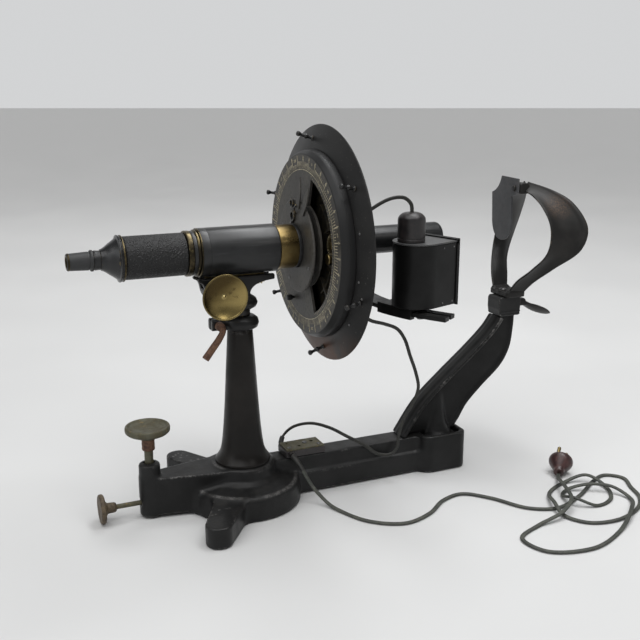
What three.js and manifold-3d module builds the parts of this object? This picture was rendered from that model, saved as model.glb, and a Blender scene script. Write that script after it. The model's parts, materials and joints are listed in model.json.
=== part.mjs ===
// Antique ophthalmometer: a telescope with a graduated disc on a cast-iron stand,
// with a lamp house behind the disc and a face rest at the far end of the rail.
// Units are millimetres. +Z is up, +X runs from the observer to the patient, and
// the origin is on the column's axis at table level.
import * as THREE from 'three';
import { mergeVertices } from 'three/addons/utils/BufferGeometryUtils.js';
import Module from 'manifold-3d';

const wasm = await Module();
wasm.setup();

// ---------- driving dimensions ----------
const gap = 0.3;
const axisHeight = 309.5;
const tableLevel = 0;

// cast-iron stand
const hubTop = 50;
const hubRadius = 70;
const ledgeHeight = 28.5;
const legReach = 118;
const legAngles = [117, -122].map(THREE.MathUtils.degToRad);
const legTipRadius = 15.5;
const legHeight = 25;
const noseX = -115;
const noseRadius = 12.5;
const noseTop = 66;
const lockScrewHeight = 17.8;
const railTop = 47.7;
const railHalfWidth = 15.6;
const railFootHalfWidth = 20.8;
const railEnd = 303;
const pocketFloor = 41.5;

// column and swivel
const columnTop = 216.5;
const postRadius = 9;
const collarBottom = columnTop + gap;
const collarTop = 233;
const saddleTop = 280.9;

// focusing
const pinionX = -28;
const pinionZ = 263.5;
const pinionRadius = 6;
const pinionTeeth = 10;
const pitchRadius = 5.6;
const rackRoot = 270.6;
const rackTip = 268.7;
const focusKnobRadius = 26.6;
const focusKnobY = 26;
const capStart = 14.6;

// telescope
const barrelRadius = 27.8;
const barrelStart = -40;
const barrelEnd = 43.4;
const drawTubeRadius = 24;
const drawTubeStart = -132.3;
const shoulderX = -64.3;
const sleeveRadius = 25.7;
const sleeveEnd = 71;
const objectiveRadius = 17;
const objectiveEnd = 265;

// graduated disc
const dialFaceX = 81.4;
const dialRadius = 106.5;
const drumRadius = 110;
const discRadius = 140;
const discRimX = 106.1;
const windowInner = 50;
const windowOuter = 82;
const pegCount = 6;
const pegRadius = 124;
const pegPhase = THREE.MathUtils.degToRad(7.5);
const pegTilt = THREE.MathUtils.degToRad(18);
const pegLength = 20;

// lamp on its arc arm, which is centred on the eye
const eyeX = 387;
const armRadius = 216;
const armWidth = 26;
const armBottom = 233.5;
const armTop = 238.5;
const lampCentre = new THREE.Vector2(226.6, -63.6);
const lampAim = THREE.MathUtils.degToRad(19);
const lampWidth = 58;
const lampDepth = 35;
const lampBottom = 243;
const lampTop = 316.5;
const capX = 183;
const capY = -78;
const capRadius = 16;
const capTop = 353;

// face rest
const browZ = 363;
const clampBottom = 196.3;
const clampTop = 222;
const footTop = 229;
const clampScrewX = 368;
const leafLength = 27; // half length of the chin rest's leaf
const leafWidth = 20;
const leafRise = 8;
const leafBelly = 3.5;
const occluderX = 378;
const occluderThickness = 2.2;

// leads
const mainsDiameter = 5;
const lampLeadDiameter = 4.4;
const plugRise = THREE.MathUtils.degToRad(22);
const plugGap = 1.1;
const ferruleX = 58;
const ferruleZ = 52;

// ---------- materials ----------
function paint(colour, roughness, metalness) {
  return new THREE.MeshStandardMaterial({ color: colour, roughness, metalness });
}
const japan = () => paint(0x161719, 0.42, 0.0);
const satinBlack = () => paint(0x232528, 0.5, 0.1);
const leatherette = () => paint(0x121212, 0.72, 0.0);
const agedBrass = () => paint(0x8f7a42, 0.38, 0.9);
const brightBrass = () => paint(0xb08d3e, 0.25, 0.95);
const greenBrass = () => paint(0x74735a, 0.6, 0.6);
const rustySteel = () => paint(0x4d3226, 0.7, 0.5);
const glass = () => paint(0xdfe8ea, 0.05, 0.0);
const bakelite = () => paint(0x2b1a17, 0.35, 0.0);
const rubber = () => paint(0x34372f, 0.75, 0.0);

// ---------- solids ----------
// Turns a closed three.js geometry into a solid with its faces outwards.
function solid(geometry) {
  geometry.deleteAttribute('normal');
  geometry.deleteAttribute('uv');
  const merged = mergeVertices(geometry, 1e-4);
  const places = merged.getAttribute('position').array;
  const corners = [];
  let volume = 0;
  const a = new THREE.Vector3();
  const b = new THREE.Vector3();
  const c = new THREE.Vector3();
  for (let i = 0; i < merged.index.count; i += 3) {
    const [p, q, r] = [0, 1, 2].map((k) => merged.index.getX(i + k));
    if (p === q || q === r || p === r) continue;
    corners.push(p, q, r);
    a.fromArray(places, p * 3);
    b.fromArray(places, q * 3);
    c.fromArray(places, r * 3);
    volume += a.dot(b.cross(c));
  }
  if (volume < 0) {
    for (let i = 0; i < corners.length; i += 3) {
      [corners[i], corners[i + 1]] = [corners[i + 1], corners[i]];
    }
  }
  return new wasm.Manifold(new wasm.Mesh({
    numProp: 3,
    vertProperties: new Float32Array(places),
    triVerts: new Uint32Array(corners),
  }));
}

function union(first, ...others) {
  return others.reduce((whole, piece) => whole.add(piece), first);
}

function cut(first, ...others) {
  return others.reduce((whole, piece) => whole.subtract(piece), first);
}

// Makes the named mesh of a finished solid.
function part(name, material, body) {
  const mesh = body.getMesh();
  const geometry = new THREE.BufferGeometry();
  geometry.setAttribute('position', new THREE.BufferAttribute(new Float32Array(mesh.vertProperties), 3));
  geometry.setIndex(new THREE.BufferAttribute(new Uint32Array(mesh.triVerts), 1));
  geometry.computeVertexNormals();
  const result = new THREE.Mesh(geometry, material);
  result.name = name;
  return result;
}

// A turned shape; the profile is a list of [radius, distance along the axis].
function turned(profile, axis, segments = 24) {
  const points = profile.map(([radius, along]) => new THREE.Vector2(radius, along));
  const closes = profile[0][0] > 0;
  if (closes) points.push(points[0].clone());
  const geometry = new THREE.LatheGeometry(points, segments);
  if (axis === 'z') geometry.rotateX(Math.PI / 2);
  if (axis === 'x') geometry.rotateZ(-Math.PI / 2);
  return geometry;
}

function turnedSolid(profile, axis, segments) {
  return solid(turned(profile, axis, segments));
}

// A turned shape around the telescope's axis.
function telescopic(profile, segments) {
  return solid(turned(profile, 'x', segments).translate(0, 0, axisHeight));
}

function rodProfile(radius, start, end) {
  return [[0, start], [radius, start], [radius, end], [0, end]];
}

// An outline in plan, extruded upwards.
function plate(shape, bottom, top, bevel = 0, curveSegments = 8) {
  const geometry = new THREE.ExtrudeGeometry(shape, {
    depth: top - bottom - 2 * bevel,
    bevelEnabled: bevel > 0,
    bevelThickness: bevel,
    bevelSize: bevel,
    bevelOffset: -bevel,
    bevelSegments: 1,
    curveSegments,
  });
  return geometry.translate(0, 0, bottom + bevel);
}

// An outline in the side view (x, z), extruded to both sides of the given y.
function sidePlate(shape, middle, thickness, bevel = 0, curveSegments = 8) {
  const geometry = plate(shape, -thickness / 2, thickness / 2, bevel, curveSegments);
  return geometry.rotateX(Math.PI / 2).translate(0, middle, 0);
}

// An outline in the end view (y, z), extruded from one x to another.
function endPlate(shape, start, end, bevel = 0, curveSegments = 8) {
  const geometry = plate(shape, start, end, bevel, curveSegments);
  return geometry.rotateX(Math.PI / 2).rotateZ(Math.PI / 2);
}

function box(x0, x1, y0, y1, z0, z1) {
  const geometry = new THREE.BoxGeometry(x1 - x0, y1 - y0, z1 - z0);
  return solid(geometry.translate((x0 + x1) / 2, (y0 + y1) / 2, (z0 + z1) / 2));
}

// The outline around two circles of different size on one line.
function taperedSlot(start, startRadius, end, endRadius) {
  const along = end.clone().sub(start);
  const heading = along.angle();
  const lean = Math.acos((startRadius - endRadius) / along.length());
  const shape = new THREE.Shape();
  shape.absarc(end.x, end.y, endRadius, heading - lean, heading + lean, false);
  shape.absarc(start.x, start.y, startRadius, heading + lean, heading - lean + 2 * Math.PI, false);
  shape.closePath();
  return shape;
}

function roundedRectangle(x0, x1, y0, y1, corner) {
  const shape = new THREE.Shape();
  shape.absarc(x1 - corner, y1 - corner, corner, 0, Math.PI / 2);
  shape.absarc(x0 + corner, y1 - corner, corner, Math.PI / 2, Math.PI);
  shape.absarc(x0 + corner, y0 + corner, corner, Math.PI, 1.5 * Math.PI);
  shape.absarc(x1 - corner, y0 + corner, corner, 1.5 * Math.PI, 2 * Math.PI);
  shape.closePath();
  return shape;
}

// ---------- stand ----------
function railOutline() {
  const half = [
    [railFootHalfWidth, 1.5],
    [railFootHalfWidth, ledgeHeight - 2],
    [railFootHalfWidth - 2, ledgeHeight],
    [railHalfWidth + 0.8, ledgeHeight + 0.6],
    [railHalfWidth, ledgeHeight + 2.5],
    [railHalfWidth - 0.4, railTop - 1.5],
    [railHalfWidth - 2, railTop],
  ];
  const mirrored = half.map(([y, z]) => [-y, z]).reverse();
  return new THREE.Shape([...half, ...mirrored].map(([y, z]) => new THREE.Vector2(y, z)));
}

function baseCasting() {
  const hub = turnedSolid([
    [0, tableLevel], [hubRadius, tableLevel], [hubRadius + 0.5, 4], [hubRadius - 1.5, 24],
    [hubRadius - 5, ledgeHeight], [57, 30.5], [47, 33.5], [41, 38], [38.4, 45], [37, 49], [35.4, hubTop],
    [0, hubTop],
  ], 'z', 28);
  const centre = new THREE.Vector2(0, 0);
  const legs = legAngles.map((angle) => {
    const root = new THREE.Vector2(Math.cos(angle), Math.sin(angle)).multiplyScalar(44);
    const tip = new THREE.Vector2(Math.cos(angle), Math.sin(angle)).multiplyScalar(legReach);
    return solid(plate(taperedSlot(root, 21, tip, legTipRadius), tableLevel, legHeight, 2, 4));
  });
  const nose = solid(plate(
    taperedSlot(centre, 33, new THREE.Vector2(noseX, 0), noseRadius),
    3.5,
    hubTop,
    2,
    4,
  ));
  const noseBoss = solid(turned([
    [0, 1.2], [noseRadius, 1.2], [noseRadius + 0.3, 20], [noseRadius, noseTop - 1.5],
    [noseRadius - 1.5, noseTop], [8.2, noseTop], [7.6, noseTop + 3.4], [0, noseTop + 3.4],
  ], 'z', 14).translate(noseX, 0, 0));
  const rail = solid(endPlate(railOutline(), 20, railEnd - 40));
  const endBoss = solid(plate(roundedRectangle(238, railEnd, -31, 31, 13), tableLevel, hubTop, 2, 3));
  const pocket = solid(plate(roundedRectangle(247, railEnd - 6, -24, 24, 9), pocketFloor, hubTop + 5, 0, 2));
  const armSeat = box(200, 250, -18, 18, railTop, hubTop + 5);
  const levellingBore = solid(turned(rodProfile(5.5, -5, noseTop + 10), 'z', 12).translate(noseX, 0, 0));
  const lockBore = solid(turned(rodProfile(3.2, noseX - 20, noseX), 'x', 12)
    .translate(0, 0, lockScrewHeight));
  const body = cut(
    union(hub, ...legs, nose, noseBoss, rail, endBoss),
    pocket,
    armSeat,
    levellingBore,
    lockBore,
  );
  return part('base_casting', japan(), body);
}

function column() {
  const profile = [
    [0, hubTop + gap], [31.6, hubTop + gap], [33.2, 52], [33.2, 54.5], [28.4, 62], [26, 69],
    [22.8, 94], [20.4, 125], [17.9, 166], [15, columnTop - 2], [14, columnTop],
    [postRadius + gap, columnTop], [postRadius + gap, 150], [0, 150],
  ];
  return part('column', japan(), turnedSolid(profile, 'z', 20));
}

function clampCollar() {
  const ring = turnedSolid([
    [postRadius + gap, collarBottom], [17, collarBottom], [21, 219], [22.6, 224], [21.4, 229],
    [17.5, 232], [14, collarTop], [postRadius + gap, collarTop],
  ], 'z', 18);
  const ears = box(-36, -15, -8.5, 8.5, 217.5, 231);
  const slit = box(-40, -5, -1.2, 1.2, 210, 240);
  const bore = turnedSolid(rodProfile(postRadius + gap, 210, 240), 'z', 18);
  const boltHole = solid(turned(rodProfile(3.3, -20, 20), 'y', 12).translate(-28, 0, 224));
  return part('clamp_collar', japan(), cut(union(ring, ears), slit, bore, boltHole));
}

// The clamp's bolt carries the bent lever on its near end.
function clampLever() {
  const bolt = solid(turned([
    [0, -18], [6, -18], [6, -8.8], [3, -8.8], [3, 8.8], [5.5, 8.8], [5.5, 12], [0, 12],
  ], 'y', 14).translate(-28, 0, 224));
  const path = new THREE.CatmullRomCurve3([
    new THREE.Vector3(-28, -14, 226),
    new THREE.Vector3(-30, -16, 221),
    new THREE.Vector3(-37, -18, 209),
    new THREE.Vector3(-49, -21, 191),
  ]);
  const round = new THREE.Shape().absarc(0, 0, 3.8, 0, 2 * Math.PI);
  const handle = solid(new THREE.ExtrudeGeometry(round, { extrudePath: path, steps: 5, curveSegments: 4 }));
  return part('clamp_lever', rustySteel(), union(bolt, handle));
}

function swivelPost() {
  const profile = [
    [0, 152], [postRadius, 152], [postRadius, collarTop + gap], [12.4, collarTop + gap],
    [12.4, 240], [8, 240], [8, 254], [0, 254],
  ];
  return part('swivel_post', satinBlack(), turnedSolid(profile, 'z', 18));
}

function saddle() {
  const lobe = turnedSolid([
    [0, 240.3], [14, 240.3], [19.6, 243.5], [21.6, 248], [19.6, 253], [13.6, 257], [11, 261],
    [10.5, 268], [0, 268],
  ], 'z', 18);
  const side = new THREE.Shape();
  side.moveTo(-52, saddleTop);
  side.lineTo(40, saddleTop);
  side.lineTo(40, saddleTop - 6.4);
  side.quadraticCurveTo(11, 273, 9.5, 260);
  side.lineTo(10, 250);
  side.lineTo(-30, 250);
  side.quadraticCurveTo(-42, 254, -44, 266);
  side.quadraticCurveTo(-45, 277, -52, 277.5);
  side.closePath();
  const bracket = solid(sidePlate(side, 0, 27, 1, 3));
  const cradle = telescopic(rodProfile(barrelRadius + gap, -80, 80), 24);
  const rackSlot = box(-70, 60, -6, 6, rackTip - 0.7, 300);
  const pinionBore = solid(turned(rodProfile(pinionRadius + 0.8, -20, 20), 'y', 12)
    .translate(pinionX, 0, pinionZ));
  const spigotBore = turnedSolid(rodProfile(8.3, 235, 254.4), 'z', 18);
  const body = cut(union(lobe, bracket), cradle, rackSlot, pinionBore, spigotBore);
  return part('saddle', japan(), body);
}

// Pinion shaft: a toothed middle between two plain journals.
function pinionShaft() {
  const outline = new THREE.Shape();
  for (let i = 0; i < pinionTeeth * 4; i += 1) {
    const angle = ((i - 0.5) / (pinionTeeth * 4)) * 2 * Math.PI + Math.PI / 2;
    const radius = i % 4 < 2 ? pinionRadius : pinionRadius - 1.6;
    const place = new THREE.Vector2(Math.cos(angle) * radius, Math.sin(angle) * radius);
    if (i === 0) outline.moveTo(place.x, place.y);
    else outline.lineTo(place.x, place.y);
  }
  outline.closePath();
  const toothed = solid(sidePlate(outline, 0, 10).translate(pinionX, 0, pinionZ));
  const journal = solid(turned(rodProfile(3, -25.6, capStart - 0.4), 'y', 12).translate(pinionX, 0, pinionZ));
  return part('pinion_shaft', agedBrass(), union(toothed, journal));
}

// The dished brass knob on the near end of the shaft.
function focusKnob() {
  const rim = focusKnobRadius;
  const profile = [
    [0, 0], [7, 0], [8, 3], [rim - 5, 4.2], [rim - 0.8, 6], [rim, 7.6], [rim - 0.6, 9.4], [rim - 2, 9.6],
    [rim - 3.4, 8.2], [rim - 10, 6.6], [0, 6.4],
  ];
  const geometry = turned(profile.map(([r, y]) => [r, -y]), 'y', 20);
  return part('focus_knob', agedBrass(), solid(geometry.translate(pinionX, -focusKnobY, pinionZ)));
}

// A small cap that holds the shaft's far end.
function pinionCap() {
  const profile = [
    [0, capStart], [7.2, capStart], [8, capStart + 0.8], [8, capStart + 3.4], [6.6, capStart + 4.6],
    [0, capStart + 4.6],
  ];
  return part('pinion_cap', agedBrass(), solid(turned(profile, 'y', 14).translate(pinionX, 0, pinionZ)));
}

// ---------- telescope ----------
function mainBarrel() {
  const body = telescopic([
    [24.8, barrelStart + gap], [27, barrelStart + gap], [barrelRadius, barrelStart + 1.6],
    [barrelRadius, barrelEnd - 1.2], [26.8, barrelEnd], [24.8, barrelEnd],
  ], 24);
  return part('main_barrel', satinBlack(), body);
}

// Rack under the barrel, with its teeth down and a gap between two of them over the pinion.
function focusRack() {
  const pitch = (2 * Math.PI * pitchRadius) / pinionTeeth;
  const top = axisHeight - barrelRadius - gap;
  const start = -39.5;
  const end = 30;
  const outline = new THREE.Shape();
  outline.moveTo(start, top);
  outline.lineTo(start, rackRoot);
  for (let middle = pinionX - 2.5 * pitch; middle < end - pitch / 2; middle += pitch) {
    outline.lineTo(middle - 1, rackRoot);
    outline.lineTo(middle - 0.45, rackTip);
    outline.lineTo(middle + 0.45, rackTip);
    outline.lineTo(middle + 1, rackRoot);
  }
  outline.lineTo(end, rackRoot);
  outline.lineTo(end, top);
  outline.closePath();
  return part('focus_rack', agedBrass(), solid(sidePlate(outline, 0, 9)));
}

function rearCollar() {
  const body = telescopic([
    [21.5, shoulderX + gap], [24.6, shoulderX + gap], [26, shoulderX + 2], [26, -54.5], [24.7, -54],
    [24.7, -51.5], [26.4, -51], [26.4, -42], [25.6, barrelStart], [21.5, barrelStart],
  ], 20);
  return part('rear_collar', agedBrass(), body);
}

function drawTube() {
  const body = telescopic([
    [19.5, drawTubeStart], [drawTubeRadius - 0.5, drawTubeStart], [drawTubeRadius, drawTubeStart + 1],
    [drawTubeRadius, shoulderX - 0.6], [21.1, shoulderX], [21.1, -22], [19.5, -22],
  ], 24);
  return part('draw_tube', leatherette(), body);
}

function bellFlange() {
  const body = telescopic([
    [9.6, -157], [11.2, -157], [12.2, -153], [17, -146], [23.6, -139.6], [26, -137.4], [25, -135.8],
    [25.8, -134.4], [24.6, drawTubeStart - gap], [19.5, drawTubeStart - gap], [16, -140], [9.6, -146],
  ], 22);
  return part('bell_flange', satinBlack(), body);
}

function eyepieceTube() {
  const body = telescopic([
    [7.4, -164.5], [11.6, -164.5], [12, -163.6], [11.6, -161.6], [10.6, -160.8], [10.6, -157 - gap],
    [9.3, -157 - gap], [9.3, -143], [7.4, -143],
  ], 16);
  return part('eyepiece_tube', satinBlack(), body);
}

function eyecup() {
  const body = telescopic([
    [6.6, -193], [8.9, -193], [9.3, -191], [10.2, -170], [9.6, -168.6], [12, -167], [11.6, -164.5 - gap],
    [7.4, -164.5 - gap], [7.4, -187], [6.6, -188],
  ], 16);
  return part('eyecup', satinBlack(), body);
}

function lens(name, x, radius, rim, bulge) {
  const steps = 2;
  const profile = [];
  for (let i = 0; i <= steps; i += 1) {
    const across = (i / steps) * radius;
    profile.push([across, x - rim / 2 - bulge * (1 - (across / radius) ** 2)]);
  }
  for (let i = steps; i >= 0; i -= 1) {
    const across = (i / steps) * radius;
    profile.push([across, x + rim / 2 + bulge * (1 - (across / radius) ** 2)]);
  }
  return part(name, glass(), telescopic(profile, 12));
}

function brassSleeve() {
  const body = telescopic([
    [17.4, barrelEnd + gap], [sleeveRadius - 0.6, barrelEnd + gap], [sleeveRadius, barrelEnd + 1.2],
    [sleeveRadius, sleeveEnd - gap], [17.4, sleeveEnd - gap],
  ], 24);
  return part('brass_sleeve', brightBrass(), body);
}

// Fixed inner disc, proud of the dial, with a hub that the dial turns round.
function innerDisc() {
  const body = telescopic([
    [17.4, sleeveEnd], [54, sleeveEnd], [55, sleeveEnd + 1], [55, sleeveEnd + 2.4], [24, sleeveEnd + 2.6],
    [24, 95], [17.4, 95],
  ], 28);
  return part('inner_disc', satinBlack(), body);
}

// A shield-shaped pointer that stands on the inner disc and reaches the scale.
function pointer(name, angle) {
  const shape = new THREE.Shape();
  shape.moveTo(-3.4, 46);
  shape.lineTo(3.4, 46);
  shape.lineTo(5.4, 62);
  shape.quadraticCurveTo(6, 72, 0, 84);
  shape.quadraticCurveTo(-6, 72, -5.4, 62);
  shape.closePath();
  const geometry = endPlate(shape, sleeveEnd - 2, sleeveEnd - gap, 0, 4);
  return part(name, satinBlack(), solid(geometry.rotateX(angle).translate(0, 0, axisHeight)));
}

function objectiveTube() {
  const body = telescopic([
    [15, sleeveEnd - 22], [objectiveRadius, sleeveEnd - 22], [objectiveRadius, objectiveEnd - 5],
    [objectiveRadius - 1.5, objectiveEnd - 1.5], [objectiveRadius - 4.5, objectiveEnd],
    [12, objectiveEnd], [12, objectiveEnd - 3], [15, objectiveEnd - 3.4],
  ], 22);
  return part('objective_tube', satinBlack(), body);
}

// Doubling prism behind the objective: two wedges cemented base to base.
function doublingPrism() {
  const outline = new THREE.Shape([
    new THREE.Vector2(205, -9), new THREE.Vector2(211, -9), new THREE.Vector2(214, 0),
    new THREE.Vector2(211, 9), new THREE.Vector2(205, 9),
  ]);
  return part('doubling_prism', glass(), solid(sidePlate(outline, 0, 18).translate(0, 0, axisHeight)));
}

// ---------- graduated disc ----------
// The part of a ring between two angles, measured from the near side upwards.
function ringSector(inner, outer, from, to) {
  const shape = new THREE.Shape();
  shape.absarc(0, 0, outer, Math.PI - to, Math.PI - from, false);
  shape.absarc(0, 0, inner, Math.PI - from, Math.PI - to, true);
  shape.closePath();
  return shape;
}

function dialPlate() {
  const drum = telescopic([
    [24.6, dialFaceX], [dialRadius, dialFaceX], [drumRadius - 0.6, dialFaceX + 3.6],
    [drumRadius, dialFaceX + 5], [drumRadius, 91], [drumRadius - 1.5, 92], [drumRadius + 1, 93.6],
    [drumRadius + 1, 97], [103, 97], [103, dialFaceX + 3], [24.6, dialFaceX + 3],
  ], 36);
  const from = THREE.MathUtils.degToRad(-68);
  const to = THREE.MathUtils.degToRad(74);
  const sector = ringSector(windowInner, windowOuter, from, to);
  const opening = endPlate(sector, dialFaceX - 5, dialFaceX + 8, 0, 12);
  const knobHole = solid(turned(rodProfile(2, 70, 96), 'x', 10).translate(0, 32, axisHeight - 70));
  const body = cut(drum, solid(opening.translate(0, 0, axisHeight)), knobHole);
  return part('dial_plate', satinBlack(), body);
}

function coneDisc() {
  const body = telescopic([
    [objectiveRadius + gap, 97 + gap], [112, 97 + gap], [discRadius - 0.6, discRimX - 1.2],
    [discRadius, discRimX], [discRadius - 0.8, discRimX + 1], [112, 100.4], [30, 100.4], [30, 112],
    [objectiveRadius + gap, 112],
  ], 36);
  return part('cone_disc', japan(), body);
}

// A turned finger peg standing square on the cone.
function peg(number) {
  const angle = pegPhase + ((number - 1) / pegCount) * 2 * Math.PI;
  const profile = [
    [0, 0], [3.1, 0], [3.1, 1], [1.9, 2], [1.9, 6.4], [3, 7.8], [3, 9.4], [1.9, 10.8],
    [1.8, pegLength - 5.4], [3.1, pegLength - 3.8], [3.1, pegLength - 1.6], [1.8, pegLength], [0, pegLength],
  ];
  const geometry = turned(profile, 'x', 7);
  geometry.scale(-1, 1, 1);
  geometry.rotateY(pegTilt);
  const slope = (discRimX - 97) / (discRadius - 112);
  geometry.translate(97 + gap + slope * (pegRadius - 112) - 1.4, 0, pegRadius);
  geometry.rotateX(-angle);
  return part(`peg_${number}`, japan(), solid(geometry.translate(0, 0, axisHeight)));
}

// Graduated wheel that shows in the dial's window.
function scaleWheel() {
  const profile = [
    [0, 86], [4, 86], [4, 87.4], [12, 87.4], [13.5, 88.4], [13.5, 93.6], [12, 94.6], [3, 94.6],
    [3, 96], [0, 96],
  ];
  const geometry = turned(profile, 'x', 18);
  return part('scale_wheel', agedBrass(), solid(geometry.translate(0, -66, axisHeight + 9)));
}

function settingKnob() {
  const profile = [
    [0, 72], [3, 72], [3.6, 73], [3.6, 78], [2.8, 79.4], [1.7, 79.6], [1.7, 94], [0, 94],
  ];
  return part('setting_knob', japan(), solid(turned(profile, 'x', 14).translate(0, 32, axisHeight - 70)));
}

// ---------- lamp ----------
function armSector(inner, outer, from, to) {
  const shape = new THREE.Shape();
  shape.absarc(eyeX, 0, outer, Math.PI + from, Math.PI + to, false);
  shape.absarc(eyeX, 0, inner, Math.PI + to, Math.PI + from, true);
  shape.closePath();
  return shape;
}

const armFrom = THREE.MathUtils.degToRad(-9.5);
const armTo = THREE.MathUtils.degToRad(35);

function arcArm() {
  const outline = armSector(armRadius - armWidth / 2, armRadius + armWidth / 2, armFrom, armTo);
  return part('arc_arm', japan(), solid(plate(outline, armBottom, armTop, 0, 10)));
}

// Bent bracket that carries the arc arm from the back of the disc.
function armBracket() {
  const shelfTop = armBottom - gap;
  const side = new THREE.Shape([
    [100.7, shelfTop - 6], [184, shelfTop - 6], [184, shelfTop], [107, shelfTop],
    [107, axisHeight - 32], [100.7, axisHeight - 32],
  ].map(([x, z]) => new THREE.Vector2(x, z)));
  return part('arm_bracket', japan(), solid(sidePlate(side, 6, 24, 0.6)));
}

// Outline of the lamp house in plan: a flat front towards the eye, a round back.
function lampOutline(grow) {
  const half = lampWidth / 2 + grow;
  const shape = new THREE.Shape();
  shape.moveTo(grow, half);
  shape.lineTo(-lampDepth, half);
  shape.absarc(-lampDepth, 0, half, Math.PI / 2, 1.5 * Math.PI, false);
  shape.lineTo(grow, -half);
  shape.closePath();
  return shape;
}

function placedLamp(geometry) {
  return solid(geometry.rotateZ(lampAim).translate(lampCentre.x, lampCentre.y, 0));
}

function lampHouse() {
  const outer = placedLamp(plate(lampOutline(0), lampBottom, lampTop, 0, 8));
  const inner = placedLamp(plate(lampOutline(-2), lampBottom + 2, lampTop + 5, 0, 8));
  const mire = placedLamp(new THREE.BoxGeometry(10, 38, 52).translate(0, 0, (lampBottom + lampTop) / 2));
  return part('lamp_house', japan(), cut(outer, inner, mire));
}

function lampLid() {
  const lid = placedLamp(plate(lampOutline(0), lampTop + gap, lampTop + 2.3, 0, 8));
  const hole = solid(turned(rodProfile(11.5, lampTop - 5, lampTop + 9), 'z', 16).translate(capX, capY, 0));
  return part('lamp_lid', satinBlack(), cut(lid, hole));
}

// Glass that carries the mire, in the slide at the front of the lamp house.
function mireGlass() {
  const sheet = new THREE.BoxGeometry(2, 50, 66).translate(1.3, 0, (lampBottom + lampTop) / 2);
  return part('mire_glass', glass(), placedLamp(sheet));
}

function mireFrame() {
  const middle = (lampBottom + lampTop) / 2;
  const outer = placedLamp(new THREE.BoxGeometry(2, 61, 79).translate(3.6, 0, middle + 1.5));
  const hole = placedLamp(new THREE.BoxGeometry(6, 38, 52).translate(3.6, 0, middle));
  const lips = [-1, 1].map((side) => placedLamp(
    new THREE.BoxGeometry(2.5, 1.6, 70).translate(1.5, side * 29.6, middle),
  ));
  return part('mire_frame', japan(), cut(union(outer, ...lips), hole));
}

function socketCap() {
  const low = lampTop + 2.3 + gap;
  const profile = [
    [11.2, low], [capRadius, low], [capRadius, 333], [capRadius - 0.7, 333.6], [capRadius - 0.7, 347],
    [capRadius - 2.4, 350.6], [capRadius - 6, capTop - 0.6], [2.6, capTop], [2.6, 346], [11.2, 344],
  ];
  return part('socket_cap', bakelite(), solid(turned(profile, 'z', 16).translate(capX, capY, 0)));
}

function bulb() {
  const profile = [
    [0, 268], [7, 269.6], [12.5, 275], [14.6, 283], [12.8, 291], [9.6, 299], [9.2, 303], [10.6, 304],
    [10.6, 330], [0, 330],
  ];
  return part('bulb', glass(), solid(turned(profile, 'z', 12).translate(capX, capY, 0)));
}

// Carriage that clasps the arc arm and carries the lamp house.
function lampCarriage() {
  const reach = armWidth / 2;
  const from = THREE.MathUtils.degToRad(10.6);
  const to = THREE.MathUtils.degToRad(24);
  const clasp = solid(plate(
    armSector(armRadius - reach - 3, armRadius + reach + 3, from, to),
    armBottom - 3.4,
    lampBottom - gap,
    0,
    5,
  ));
  const channel = solid(plate(
    armSector(armRadius - reach - 0.5, armRadius + reach + 0.5, from - 0.2, to + 0.2),
    armBottom - 0.4,
    armTop + 0.4,
    0,
    8,
  ));
  const mouth = solid(plate(
    armSector(armRadius - reach + 5, armRadius + reach - 5, from - 0.2, to + 0.2),
    armBottom - 9,
    armBottom,
    0,
    8,
  ));
  return part('lamp_carriage', japan(), cut(clasp, channel, mouth));
}

// ---------- face rest ----------
const armFront = [[213, 48], [243, 90], [281, 124], [320, 156], [347, 181], [358, 196]];
const armBack = [[384, 196], [383, 176], [379, 150], [367, 128], [337, 101], [314, 78], [303, 60], [294, 48]];

function curveThrough(points, count) {
  const curve = new THREE.SplineCurve(points.map(([x, z]) => new THREE.Vector2(x, z)));
  return curve.getPoints(count);
}

function headrestArm() {
  const web = new THREE.Shape([...curveThrough(armFront, 9), ...curveThrough(armBack, 10)]);
  const front = curveThrough(armFront, 9);
  const inside = curveThrough(armFront.map(([x, z]) => [x + 4.4, z - 2.6]), 9).reverse();
  inside[inside.length - 1].y = 48;
  inside[0].y = 196;
  const back = curveThrough(armBack, 10);
  const behind = curveThrough(armBack.map(([x, z]) => [x - 4.4, z + 2.2]), 10).reverse();
  behind[behind.length - 1].y = 196;
  behind[0].y = 48;
  const frontStrip = solid(sidePlate(new THREE.Shape([...front, ...inside]), 0, 30));
  const backStrip = solid(sidePlate(new THREE.Shape([...back, ...behind]), 0, 13));
  const buttress = solid(turned([
    [0, pocketFloor + gap], [22, pocketFloor + gap], [21.5, 44], [17, 49], [12.5, 60], [9, 78], [6, 96],
    [3, 106], [0, 108],
  ], 'z', 16).translate(272, 0, 0));
  const body = union(solid(sidePlate(web, 0, 9)), frontStrip, backStrip, buttress);
  const lift = box(190, 320, -40, 40, 20, railTop + gap);
  const footProfile = rodProfile(22.4, pocketFloor + gap, railTop + gap);
  const foot = turnedSolid(footProfile, 'z', 16).translate([272, 0, 0]);
  const kept = lift.subtract(foot);
  return part('headrest_arm', japan(), body.subtract(kept));
}

function clampBlock() {
  const shape = new THREE.Shape([
    [357, clampBottom], [386, clampBottom], [388, 206], [388, 218], [386, clampTop], [357, clampTop],
    [354.5, 219], [354.5, 206],
  ].map(([x, z]) => new THREE.Vector2(x, z)));
  const bore = solid(turned(rodProfile(2.3, 210, 240), 'z', 12).translate(clampScrewX, 0, 0));
  return part('clamp_block', japan(), cut(solid(sidePlate(shape, 0, 28, 1.5)), bore));
}

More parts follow.
